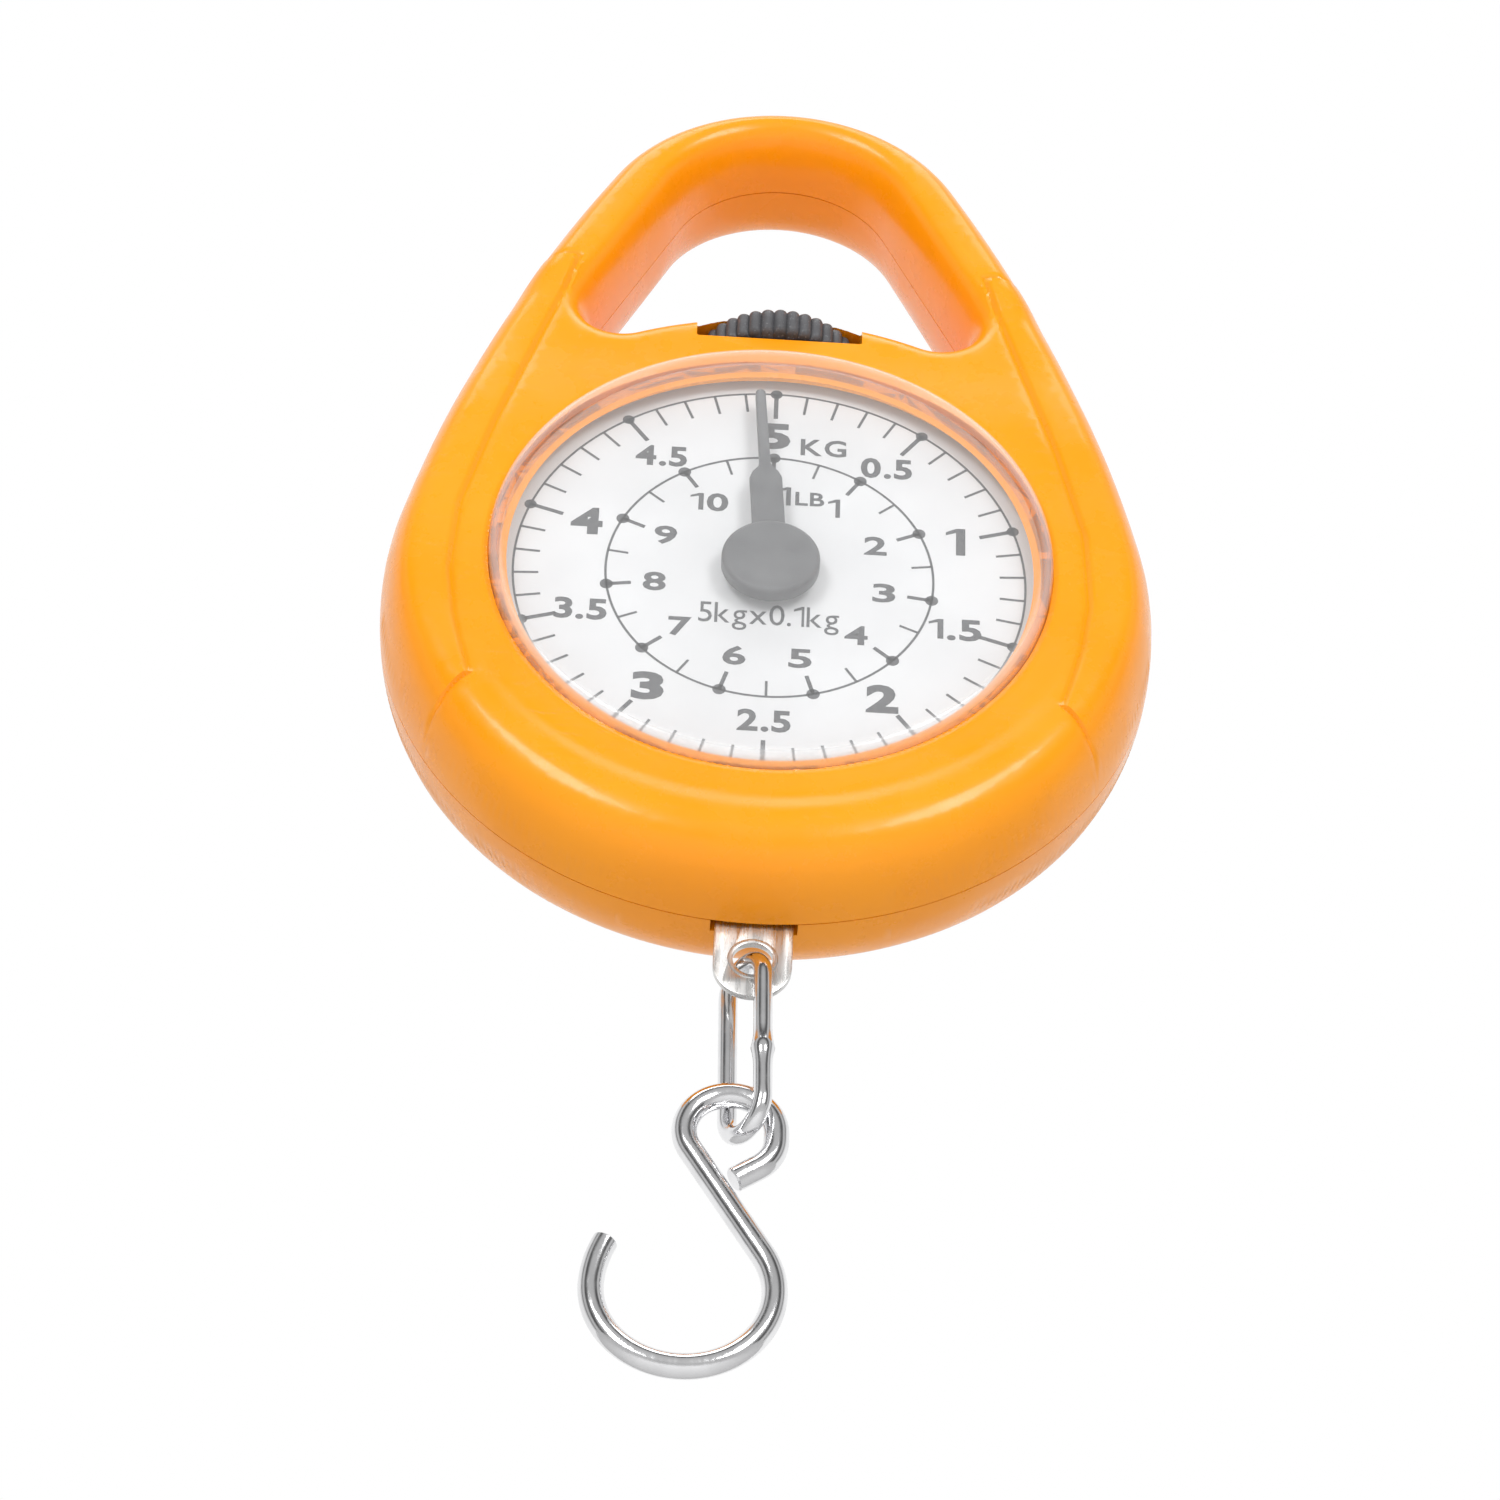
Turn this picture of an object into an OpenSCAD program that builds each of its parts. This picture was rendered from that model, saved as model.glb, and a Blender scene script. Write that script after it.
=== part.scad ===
// Hanging dial scale: a two-part moulded case with a built-in handle, a round dial under a
// clear lens, a zeroing wheel, two extension springs, a rack and pinion, and an S-hook.
// Frame: the origin is the underside of the handle arch on the parting plane of the case,
// +Z is up, the dial faces -Y and +X is to the right of a reader. Lengths are millimetres.

/* [Case] */
// Radius of the round lower part of the case at the parting line
case_r = 47.3; // [47:0.1:48]
// Drop of that circle's centre below the centre of the dial
case_drop = 2.1; // [1.8:0.1:2.4]
// Radius of the long curve of each flank
flank_r = 240; // [200:5:300]
// Radius of the outside of the handle arch
arch_outer_r = 26.2; // [26.1:0.1:26.6]
// Height of the centre of the arch's outside above the centre of the dial
arch_outer_rise = 58.2; // [58.1:0.1:58.6]
// Radius of the inside of the handle arch
arch_r = 14.9; // [14.6:0.1:15]
// Height of the centre of the arch's inside above the centre of the dial
arch_rise = 61.6; // [61.3:0.1:61.7]
// Depth of the front shell, from the parting plane to its face
front_depth = 10.6; // [10.4:0.1:11]
// Depth of the rear shell, from the parting plane to its flat back
rear_depth = 10.5; // [10.5:0.1:11.2]
// Depth at the top of the handle, as a share of the depth at the dial
handle_depth = 0.89; // [0.86:0.01:0.92]
// Width of the rounded edge of both shells
edge_w = 3.6; // [3.4:0.1:3.7]
// Wall thickness of both shells
wall = 1.5; // [1.4:0.1:1.8]

/* [Dial] */
// Distance from the dial's face back to the parting plane
dial_depth = 7; // [6.9:0.1:7.1]
// Radius of the dial plate
dial_r = 35.4; // [35:0.1:35.8]
// Radius of the opening in front of the dial
window_r = 32; // [31.8:0.1:32.2]
// Outer radius of the lens
lens_r = 34.2; // [34:0.1:34.3]
// How far the lens stands proud of the front shell
lens_proud = 2.1; // [1.8:0.1:2.4]
// Angle of the pointer at rest, counter-clockwise from the zero mark
pointer_rest = 4.2; // [0:0.1:8]

/* [Movement] */
// Teeth of the pinion
pinion_teeth = 12; // [12]
// Module of the pinion and the rack
gear_module = 0.5; // [0.5]
// Radius of the pointer's shaft
shaft_r = 0.75; // [0.6:0.05:0.8]
// Radius of the coils of each spring, to the centre of the wire
spring_r = 3.4; // [3:0.1:3.6]
// Diameter of the spring wire
spring_wire = 0.9; // [0.8:0.1:1]
// Distance of each spring from the middle of the case
spring_x = 15; // [14.8:0.1:15.5]

/* [Zero wheel] */
// Radius of the knurled wheel
wheel_r = 10.95; // [10.8:0.05:11]
// Thickness of the knurled wheel
wheel_t = 3.8; // [3.6:0.1:3.9]
// Serrations around the wheel
wheel_teeth = 40; // [36:1:44]

/* [Hook] */
// Width of the steel strip that leaves the case
strip_w = 9.2; // [8.8:0.1:9.4]
// Thickness of that strip
strip_t = 0.9; // [0.8:0.1:1]
// Diameter of the wire of the chain link
link_wire = 2.2; // [2:0.1:2.3]
// Diameter of the wire of the S-hook
hook_wire = 2.9; // [2.7:0.1:3]
// Radius of the hook's bowl, to the centre of the wire
bowl_r = 10.1; // [9.8:0.1:10.4]

/* [Hidden] */
$fn = 64;
eps = 0.01;

// Places along the middle of the case
dial_z = -(arch_rise + arch_r);
case_z = dial_z - case_drop;
arch_z = -arch_r;
outer_z = dial_z + arch_outer_rise;
arch_top = outer_z + arch_outer_r;
front_y = -front_depth;
dial_y = -dial_depth;

// Handle gap: an arch, two straight legs, two filleted corners and a bar that curves round the dial
bar_r = 47;
corner_r = 4;
corner_x = 20.2;
corner_z = case_z + sqrt(pow(bar_r + corner_r, 2) - pow(corner_x, 2));
edge_power = 2.2;
edge_steps = 4;
flare_past = 0.4;
taper_from = dial_z + 30;

// Arc tangent inside both the case circle and the arch circle
centre_gap = outer_z - case_z;
to_case = flank_r - case_r;
to_arch = flank_r - arch_outer_r;
flank_z = case_z + (to_case * to_case - to_arch * to_arch + centre_gap * centre_gap) / (2 * centre_gap);
flank_x = -sqrt(to_case * to_case - pow(flank_z - case_z, 2));

// Lens, dial and pointer
seat_y = -9.2;
lens_front_y = front_y - lens_proud;
lens_t = 1.3;
lens_play = 0.1;
ring_r = 36.6;
dial_t = 0.8;
hub_r = 6;
hub_t = 2.1;
hub_front_y = dial_y - 3.6;
arm_t = 1.2;
arm_w = 4;
arm_len = 15.3;
tip_w = 1.4;
tip_len = 29;

// Bridge, bushes and shaft
bridge_y = -5;
bridge_t = 1;
bridge_half = 41.6;
bridge_h = 9;
bridge_boss_x = 39.2;
bridge_boss_r = 3;
bush_r = 1.75;
bush_flange_r = 2.8;
bush_play = 0.05;
shaft_front_y = -9.6;
shaft_rear_y = 7.6;
rear_boss_r = 4;
rear_boss_y = 5;

// Pinion and rack
pitch_r = pinion_teeth * gear_module / 2;
tooth_pitch = PI * gear_module;
travel = 2 * PI * pitch_r;
pressure = 20;
rack_addendum = 0.65 * gear_module;
rack_dedendum = 1.0 * gear_module;
pinion_addendum = 0.8 * gear_module;
pinion_dedendum = 0.9 * gear_module;
backlash = 0.07;
gear_front_y = -2;
plate_y = 0.55;
rack_back_x = 7;
rack_low = -4;
rack_high = travel + 4;

// Load plate
rail_x = 9;
window_half = 5.4;
plate_low = -4.4;
plate_top = travel + 5.6;
plate_low_z = -22;
ear_half = 18;
ear_z = -18;
ear_h = 6;
hook_hole_r = 1.1;
strip_end = 59.5;
strip_hole = 54;
strip_hole_r = 2.35;
spring_y = plate_y + strip_t / 2;

// Wheel, screw and yoke
wheel_y = -0.55;
wheel_z = dial_z + 38.6;
shelf_top = dial_z + 38.4;
shelf_t = 2.2;
slot_half = 10.45;
slot_low = dial_z + 38.3;
slot_high = dial_z + 42.6;
screw_r = 2;
screw_play = 0.05;
insert_r = 3.6;
washer_r = 4.4;
washer_t = 0.6;
yoke_low = dial_z + 26.8;
yoke_h = 4;
yoke_half = 18;
yoke_hole_z = yoke_low + yoke_h / 2;

// Case screws: x and z from the centre of the dial
screw_places = [[-30, -30], [30, -30], [-31, 34], [31, 34]];
case_seat = 6.6;
screw_len = 12;
case_screw_r = 1.3;
pilot_play = 0.03;
bridge_screw_r = 0.9;
head_r = 2.6;
head_t = 1.8;
boss_r = 3.2;

// Link and hook
link_half = 3.3;
link_len = 24.1;
link_turn = 35;
link_lean = 1.5;
link_x = -0.75;
link_y = spring_y + 0.6;
link_top_z = dial_z - 54.15;
eye_r = 5.2;
eye_x = -1.7;
eye_z = dial_z - 78.4;
eye_side = 1;
eye_corner_r = 4.6;
eye_corner = 55;
eye_tail = 3.3;
bowl_x = -6.2;
bowl_z = dial_z - 100.3;
bowl_turn = 215;
tip_r = 16;
tip_turn = 20.4;

// Shank of the hook, tangent to the eye and to the bowl
eye_to_bowl = norm([bowl_x - eye_x, bowl_z - eye_z]);
shank_dir = atan2(bowl_z - eye_z, bowl_x - eye_x) + asin((eye_r + bowl_r) / eye_to_bowl);
shank_len = sqrt(pow(eye_to_bowl, 2) - pow(eye_r + bowl_r, 2));

// Helpers

// Points of an arc in the XZ plane
function arc(cx, cz, r, from, to, n) =
    [for (i = [0:n]) [cx + r * cos(from + (to - from) * i / n), cz + r * sin(from + (to - from) * i / n)]];

// Angle of the line between two points
function bearing(a, b) = atan2(b[1] - a[1], b[0] - a[0]);

// Right half of the case outline, from the bottom to the top, moved in by inset
function right_outline(inset) =
    let (low = bearing([flank_x, flank_z], [0, case_z]), high = bearing([flank_x, flank_z], [0, outer_z]))
    concat(arc(0, case_z, case_r - inset, -90, low, 14),
        [for (i = [1:3]) let (a = low + (high - low) * i / 4)
            [flank_x + (flank_r - inset) * cos(a), flank_z + (flank_r - inset) * sin(a)]],
        arc(0, outer_z, arch_outer_r - inset, high, 90, 8));

// Right half of the handle gap, from the bar to the arch, moved out by outset
function right_gap(outset) =
    let (low = bearing([0, case_z], [corner_x, corner_z]),
        gap_len = norm([corner_x, arch_z - corner_z]),
        side = bearing([corner_x, corner_z], [0, arch_z]) - 90 - asin((arch_r - corner_r) / gap_len))
    concat(arc(0, case_z, bar_r - outset, 90, low, 4),
        arc(corner_x, corner_z, corner_r + outset, low - 180, side, 5),
        arc(0, arch_z, arch_r + outset, side, 90, 6));

// A whole outline from its right half, whose two ends lie on the middle
function mirrored(half) =
    concat(half, [for (i = [len(half) - 2:-1:1]) [-half[i][0], half[i][1]]]);

// Rounded edge: how far in and how deep, at step k
function edge_in(k) = edge_w * (1 - pow(cos(90 * k / edge_steps), 2 / edge_power));
function edge_deep(k, depth) = depth * pow(sin(90 * k / edge_steps), 2 / edge_power);

// The handle is a little shallower than the case
function taper(z) = 1 - (1 - handle_depth) * min(max((z - taper_from) / (arch_top - taper_from), 0), 1);

function turned(face, flip) = flip ? [for (i = [len(face) - 1:-1:0]) face[i]] : face;

// Faces that fill a mirrored ring, one level strip at a time, so that a tapered face stays smooth
function level_faces(n, at, flip) = [for (i = [0:n / 2 - 1])
    let (a = at + i, b = at + i + 1, c = at + n - i - 1, d = at + (n - i) % n)
    turned(i == 0 ? [a, b, c] : i == n / 2 - 1 ? [a, b, d] : [a, b, c, d], flip)];

// Solid between rings of points with the same count, each ring [y, points]; dir is -1 when y falls
module rings(list, dir, level = false) {
    n = len(list[0][1]);
    m = len(list);
    points = [for (ring = list) for (p = ring[1]) [p[0], ring[0] * taper(p[1]), p[1]]];
    sides = [for (j = [0:m - 2]) for (i = [0:n - 1])
        let (a = j * n + i, b = j * n + (i + 1) % n, c = a + n, d = b + n)
        each (dir < 0 ? [[a, c, b], [b, c, d]] : [[a, b, c], [b, d, c]])];
    last = (m - 1) * n;
    near = level ? level_faces(n, 0, dir > 0) : [turned([for (i = [0:n - 1]) i], dir > 0)];
    far = level ? level_faces(n, last, dir < 0) : [turned([for (i = [0:n - 1]) last + i], dir < 0)];
    polyhedron(points, concat(sides, near, far), convexity = 6);
}

// Half of the case without its gap; side is -1 for the front and 1 for the rear
module half_case(side, depth, inset, edge_less) {
    rings([for (k = [0:edge_steps]) [side * edge_deep(k, depth),
        mirrored(right_outline(inset + edge_in(k) * edge_less))]], side, true);
}

// Shape of the handle gap in one half, flared towards the face and carried on a little past it
module gap_cut(side, depth, extra) {
    rings(concat([[-side * eps, mirrored(right_gap(extra))]],
        [for (k = [0:edge_steps - 1]) [side * edge_deep(k, depth), mirrored(right_gap(extra + edge_in(k)))]],
        [[side * (depth + flare_past), mirrored(right_gap(extra + edge_w))]]), side);
}

// Cylinder along Y between two depths
module rod_y(x, z, r, y1, y2, sides = $fn) {
    translate([x, y1, z]) rotate([-90, 0, 0]) cylinder(r = r, h = y2 - y1, $fn = sides);
}

// Hollow half of the case; resize() keeps its size and makes it one faceted solid
module half_shell(side, depth) {
    resize([0, 0, 0]) difference() {
        half_case(side, depth, 0, 1);
        difference() {
            translate([0, -side * eps, 0]) half_case(side, depth - wall, wall, (edge_w - wall) / edge_w);
            gap_cut(side, depth, wall);
        }
        gap_cut(side, depth, 0);
    }
}

// Stretch of bent wire in the XY plane, turning left from one bearing to the other about a centre
module wire_arc(centre, r, wire, from, to) {
    translate([centre[0], centre[1], 0]) rotate(from) rotate_extrude(angle = to - from)
        translate([r, 0]) circle(r = wire / 2, $fn = 32);
}

// Straight stretch of wire in the XY plane
module wire_line(start, dir, length, wire) {
    translate([start[0], start[1], 0]) rotate(dir) rotate([0, 90, 0])
        cylinder(r = wire / 2, h = length, $fn = 32);
}

// Point at a distance and a bearing from another
function polar(p, r, dir) = [p[0] + r * cos(dir), p[1] + r * sin(dir)];

// Case

module front_shell() {
    $fn = 24;
    color("orange") resize([0, 0, 0]) difference() {
        union() {
            half_shell(-1, front_depth);
            rod_y(0, dial_z, ring_r, -9, dial_y, 96);
            for (side = [-1, 1]) rod_y(side * bridge_boss_x, dial_z, bridge_boss_r, 1 - front_depth, bridge_y);
            for (p = screw_places) rod_y(p[0], dial_z + p[1], boss_r - 0.3, 1.4 - front_depth, 0);
            translate([-14, 1 - front_depth, shelf_top - shelf_t]) cube([28, front_depth - 1, shelf_t]);
        }
        rod_y(0, dial_z, window_r, front_y - 1, 0, 96);
        rod_y(0, dial_z, lens_r + lens_play, front_y - 1, seat_y, 96);
        wheel_room();
        for (side = [-1, 1]) rod_y(side * bridge_boss_x, dial_z, bridge_screw_r + pilot_play, -8.8, 0);
        for (p = screw_places)
            rod_y(p[0], dial_z + p[1], case_screw_r + pilot_play, case_seat - screw_len - 0.3, 1);
    }
}

// Room for the wheel, its slot through both faces, the screw and the washer
module wheel_room() {
    translate([-slot_half, -13, slot_low]) cube([2 * slot_half, 26, slot_high - slot_low]);
    translate([0, wheel_y, slot_low]) cylinder(r = wheel_r + 0.4, h = slot_high - slot_low);
    translate([0, wheel_y, shelf_top - 4]) cylinder(r = screw_r + 0.4, h = 5);
    translate([0, wheel_y, shelf_top - washer_t + 0.2]) cylinder(r = washer_r + 0.2, h = 2);
}

module rear_shell() {
    color("orange") difference() {
        union() {
            half_shell(1, rear_depth);
            for (p = screw_places) rod_y(p[0], dial_z + p[1], boss_r, 0, rear_depth - 1.2);
            rod_y(0, dial_z, rear_boss_r, rear_boss_y, rear_depth - 1);
            translate([-14, 0, shelf_top - shelf_t]) cube([28, rear_depth - 1, shelf_t]);
            for (side = [-1, 1]) translate([side * (rail_x + 0.9) - 0.6, 2, dial_z - 14])
                cube([1.2, rear_depth - 3, 22]);
        }
        wheel_room();
        rod_y(0, dial_z, bush_r, rear_boss_y - 1, 8.6);
        for (p = screw_places) {
            rod_y(p[0], dial_z + p[1], case_screw_r + 0.3, -1, case_seat + 1);
            rod_y(p[0], dial_z + p[1], head_r + 0.3, case_seat, rear_depth + 1);
        }
        translate([-strip_w / 2 - 0.5, -eps, dial_z - 54]) cube([strip_w + 1, 2, 10]);
    }
}

module case_screws() {
    color("silver") for (p = screw_places) difference() {
        union() {
            rod_y(p[0], dial_z + p[1], case_screw_r, case_seat - screw_len, case_seat + eps);
            rod_y(p[0], dial_z + p[1], head_r, case_seat, case_seat + head_t);
        }
        for (turn = [0, 90]) translate([p[0], case_seat + head_t, dial_z + p[1]])
            rotate([0, turn, 0]) cube([2.8, 1.6, 0.6], center = true);
    }
}

module lens() {
    color("lightcyan", 0.4) difference() {
        union() {
            rod_y(0, dial_z, lens_r, lens_front_y + 0.8, seat_y);
            rod_y(0, dial_z, lens_r - 0.8, lens_front_y, lens_front_y + 1);
        }
        rod_y(0, dial_z, lens_r - lens_t, lens_front_y + lens_t, seat_y + 1);
    }
}

// Dial and pointer

module dial_plate() {
    color("white") difference() {
        rod_y(0, dial_z, dial_r, dial_y, dial_y + dial_t);
        rod_y(0, dial_z, 2, dial_y - 1, dial_y + 2);
    }
}

module pointer() {
    arm_mid_y = hub_front_y + hub_t / 2;
    color("dimgray") translate([0, 0, dial_z]) rotate([0, -pointer_rest, 0]) difference() {
        union() {
            rod_y(0, 0, hub_r, hub_front_y, hub_front_y + hub_t);
            translate([0, arm_mid_y + arm_t / 2, 0]) rotate([90, 0, 0]) linear_extrude(arm_t)
                polygon([[-arm_w / 2, 0], [arm_w / 2, 0], [arm_w / 2, arm_len - 1.6],
                    [arm_w / 2 - 0.8, arm_len], [tip_w / 2, arm_len + 0.8], [0.4, tip_len],
                    [-0.4, tip_len], [-tip_w / 2, arm_len + 0.8], [0.8 - arm_w / 2, arm_len],
                    [-arm_w / 2, arm_len - 1.6]]);
        }
        rod_y(0, 0, shaft_r, shaft_front_y, 0);
    }
}

module pointer_shaft() {
    color("silver") rod_y(0, dial_z, shaft_r, shaft_front_y, shaft_rear_y);
}

// One flank of a pinion tooth, from the root circle to the tip, as [x, y] about its middle line
base_r = pitch_r * cos(pressure);
tooth_tip_r = pitch_r + pinion_addendum;
root_r = pitch_r - pinion_dedendum;
function roll(r) = sqrt(pow(r / base_r, 2) - 1) * 180 / PI;
function involute(r) = roll(r) - acos(base_r / r);
half_tooth = (PI * gear_module / 2 - backlash) / 2 / pitch_r * 180 / PI;
function flank_angle(r) = half_tooth + involute(pitch_r) - involute(max(r, base_r));
flank_radii = concat([root_r], [for (i = [0:5]) base_r + (tooth_tip_r - base_r) * i / 5]);

function pinion_points() = [for (k = [0:pinion_teeth - 1]) let (mid = (k + 0.5) * 360 / pinion_teeth)
    each concat([for (r = flank_radii) [r * cos(mid - flank_angle(r)), r * sin(mid - flank_angle(r))]],
        [for (i = [len(flank_radii) - 1:-1:0]) let (r = flank_radii[i])
            [r * cos(mid + flank_angle(r)), r * sin(mid + flank_angle(r))]])];

module pinion() {
    color("goldenrod") difference() {
        translate([0, plate_y - 0.25, dial_z]) rotate([90, 0, 0])
            linear_extrude(plate_y - 0.25 - gear_front_y) polygon(pinion_points());
        rod_y(0, dial_z, shaft_r, -5, 5);
    }
}

module bridge_plate() {
    color("silver") difference() {
        translate([-bridge_half, bridge_y, dial_z - bridge_h / 2]) cube([2 * bridge_half, bridge_t, bridge_h]);
        rod_y(0, dial_z, bush_r, bridge_y - 1, bridge_y + 2);
        for (side = [-1, 1]) rod_y(side * bridge_boss_x, dial_z, 1.2, bridge_y - 1, bridge_y + 2);
    }
}

module bridge_screws() {
    color("gray") for (side = [-1, 1]) {
        rod_y(side * bridge_boss_x, dial_z, bridge_screw_r, -8.4, bridge_y + bridge_t);
        rod_y(side * bridge_boss_x, dial_z, 1.9, bridge_y + bridge_t, bridge_y + bridge_t + 1.2);
    }
}

module front_bush() {
    color("goldenrod") difference() {
        union() {
            rod_y(0, dial_z, bush_r, bridge_y - 0.6, bridge_y + bridge_t);
            rod_y(0, dial_z, bush_flange_r, bridge_y + bridge_t, bridge_y + bridge_t + 0.8);
        }
        rod_y(0, dial_z, shaft_r + bush_play, bridge_y - 2, bridge_y + 4);
    }
}

module rear_bush() {
    color("goldenrod") difference() {
        union() {
            rod_y(0, dial_z, bush_r, rear_boss_y, 8.4);
            rod_y(0, dial_z, bush_flange_r, rear_boss_y - 0.8, rear_boss_y);
        }
        rod_y(0, dial_z, shaft_r + bush_play, rear_boss_y - 2, 9);
    }
}

// Load plate and rack

module load_plate() {
    color("lightgray") translate([0, plate_y + strip_t, dial_z]) rotate([90, 0, 0])
        linear_extrude(strip_t) difference() {
            union() {
                translate([-rail_x, plate_low_z]) square([2 * rail_x, plate_top - plate_low_z]);
                translate([-ear_half, ear_z - ear_h / 2]) square([2 * ear_half, ear_h]);
                translate([-strip_w / 2, strip_w / 2 - strip_end])
                    square([strip_w, strip_end - strip_w / 2 + plate_low_z + 1]);
                translate([0, strip_w / 2 - strip_end]) circle(r = strip_w / 2);
            }
            translate([-window_half, plate_low]) square([2 * window_half, plate_top - plate_low - 3]);
            translate([0, -strip_hole]) circle(r = strip_hole_r);
            for (side = [-1, 1]) translate([side * spring_x, ear_z]) circle(r = hook_hole_r);
            for (z = [0, travel]) translate([rail_x - 1.8, z]) circle(r = 0.7);
        }
}

// Straight rack on the right of the pinion, with a tooth centred level with the pinion at rest
module rack_bar() {
    half_at_pitch = (tooth_pitch / 2 - backlash) / 2;
    half_at_tip = half_at_pitch - rack_addendum * tan(pressure);
    half_at_root = half_at_pitch + rack_dedendum * tan(pressure);
    first = ceil(rack_low / tooth_pitch + 0.6);
    last = floor(rack_high / tooth_pitch - 0.6);
    teeth = [for (k = [first:last]) let (z = k * tooth_pitch)
        each [[rack_dedendum, z - half_at_root], [-rack_addendum, z - half_at_tip],
            [-rack_addendum, z + half_at_tip], [rack_dedendum, z + half_at_root]]];
    color("white") difference() {
        translate([pitch_r, plate_y, dial_z]) rotate([90, 0, 0]) linear_extrude(plate_y - gear_front_y)
            polygon(concat([[rack_back_x - pitch_r + 1.4, rack_low], [rack_dedendum, rack_low]], teeth,
                [[rack_dedendum, rack_high], [rack_back_x - pitch_r + 1.4, rack_high]]));
        for (z = [0, travel]) rod_y(rail_x - 1.8, dial_z + z, 0.7, -5, 2);
    }
}

module rack_rivets() {
    color("silver") for (z = [0, travel]) {
        rod_y(rail_x - 1.8, dial_z + z, 0.7, gear_front_y, plate_y + strip_t);
        rod_y(rail_x - 1.8, dial_z + z, 1.1, gear_front_y - 0.4, gear_front_y);
        rod_y(rail_x - 1.8, dial_z + z, 1.1, plate_y + strip_t, plate_y + strip_t + 0.35);
    }
}

// Springs

loop_r = spring_r;
coil_low = ear_z + loop_r + loop_r + 0.6;
coil_high = yoke_hole_z - dial_z - 2 * loop_r - 0.6;
coil_turns = 18;
turn_steps = 10;

// Route of one spring about its own axis: lower loop, coils, upper loop
function loop_points(z, from) = [for (i = [0:8]) let (a = from + i * 26.25)
    [0, loop_r * cos(a), z + loop_r * sin(a)]];
function coil_points() = [for (i = [0:coil_turns * turn_steps]) let (a = 360 * i / turn_steps)
    [spring_r * sin(a), spring_r * cos(a), coil_low + (coil_high - coil_low) * i / (coil_turns * turn_steps)]];
function spring_route() = concat(loop_points(ear_z + loop_r, 150), coil_points(),
    loop_points(yoke_hole_z - dial_z - loop_r, 0));

function unit(v) = v / norm(v);
function heading(route, i) = unit(route[min(i + 1, len(route) - 1)] - route[max(i - 1, 0)]);

// Tube along a route, with a frame that turns as little as it can
module tube(route, r, sides) {
    n = len(route);
    first = unit(cross(heading(route, 0), [1, 0, 0]));
    normals = [for (i = 0, v = first; i < n; i = i + 1,
        v = i < n ? unit(v - (v * heading(route, i)) * heading(route, i)) : v) v];
    points = [for (i = [0:n - 1]) for (k = [0:sides - 1]) let (a = 360 * k / sides)
        route[i] + r * (cos(a) * normals[i] + sin(a) * cross(heading(route, i), normals[i]))];
    walls = [for (i = [0:n - 2]) for (k = [0:sides - 1])
        let (a = i * sides + k, b = i * sides + (k + 1) % sides, c = a + sides, d = b + sides)
        each [[a, c, b], [b, c, d]]];
    start = [for (k = [0:sides - 1]) k];
    end = [for (k = [sides - 1:-1:0]) (n - 1) * sides + k];
    polyhedron(points, concat(walls, [start, end]), convexity = 10);
}

module left_spring() {
    color("gray") translate([-spring_x, spring_y, dial_z]) tube(spring_route(), spring_wire / 2, 6);
}

module right_spring() {
    color("gray") translate([spring_x, spring_y, dial_z]) tube(spring_route(), spring_wire / 2, 6);
}

// Zeroing gear

module spring_yoke() {
    color("lightgray") difference() {
        union() {
            translate([-yoke_half, spring_y - 0.75, yoke_low]) cube([2 * yoke_half, 1.5, yoke_h]);
            translate([-5, wheel_y - 3.4, yoke_low]) cube([10, 7, yoke_h]);
        }
        for (side = [-1, 1]) rod_y(side * spring_x, yoke_hole_z, hook_hole_r, -5, 5);
        translate([0, wheel_y, yoke_low - 1]) cylinder(r = screw_r, h = yoke_h + 2);
    }
}

module adjuster_screw() {
    color("silver") {
        translate([0, wheel_y, yoke_low]) cylinder(r = screw_r, h = wheel_z + wheel_t - 0.3 - yoke_low);
        translate([0, wheel_y, yoke_low - 1.2]) cylinder(r = 3, h = 1.2);
    }
}

module zero_wheel() {
    notch = 0.35;
    steps = 6 * wheel_teeth;
    color("#3c3c3e") translate([0, wheel_y, wheel_z]) difference() {
        linear_extrude(wheel_t) polygon([for (i = [0:steps - 1]) let (a = 360 * i / steps,
            r = wheel_r - notch / 2 + notch / 2 * cos(wheel_teeth * a)) [r * cos(a), r * sin(a)]]);
        translate([0, 0, -1]) cylinder(r = insert_r, h = wheel_t + 2);
    }
}

module wheel_insert() {
    color("goldenrod") translate([0, wheel_y, wheel_z]) difference() {
        cylinder(r = insert_r, h = wheel_t);
        translate([0, 0, -1]) cylinder(r = screw_r + screw_play, h = wheel_t + 2);
    }
}

module thrust_washer() {
    color("silver") translate([0, wheel_y, shelf_top - washer_t + 0.2]) difference() {
        cylinder(r = washer_r, h = washer_t - 0.05);
        translate([0, 0, -1]) cylinder(r = screw_r + 0.3, h = 3);
    }
}

// Link and hook

module chain_link() {
    straight = link_len - 2 * link_half;
    color("silver") translate([link_x, link_y, link_top_z]) rotate([0, -link_lean, 0])
        rotate([0, 0, link_turn - 90]) rotate([90, 0, 0]) translate([0, -link_half, 0]) {
            wire_arc([0, 0], link_half, link_wire, 0, 180);
            wire_arc([0, -straight], link_half, link_wire, 180, 360);
            for (side = [-1, 1]) wire_line([side * link_half, -straight], 90, straight, link_wire);
        }
}

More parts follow.
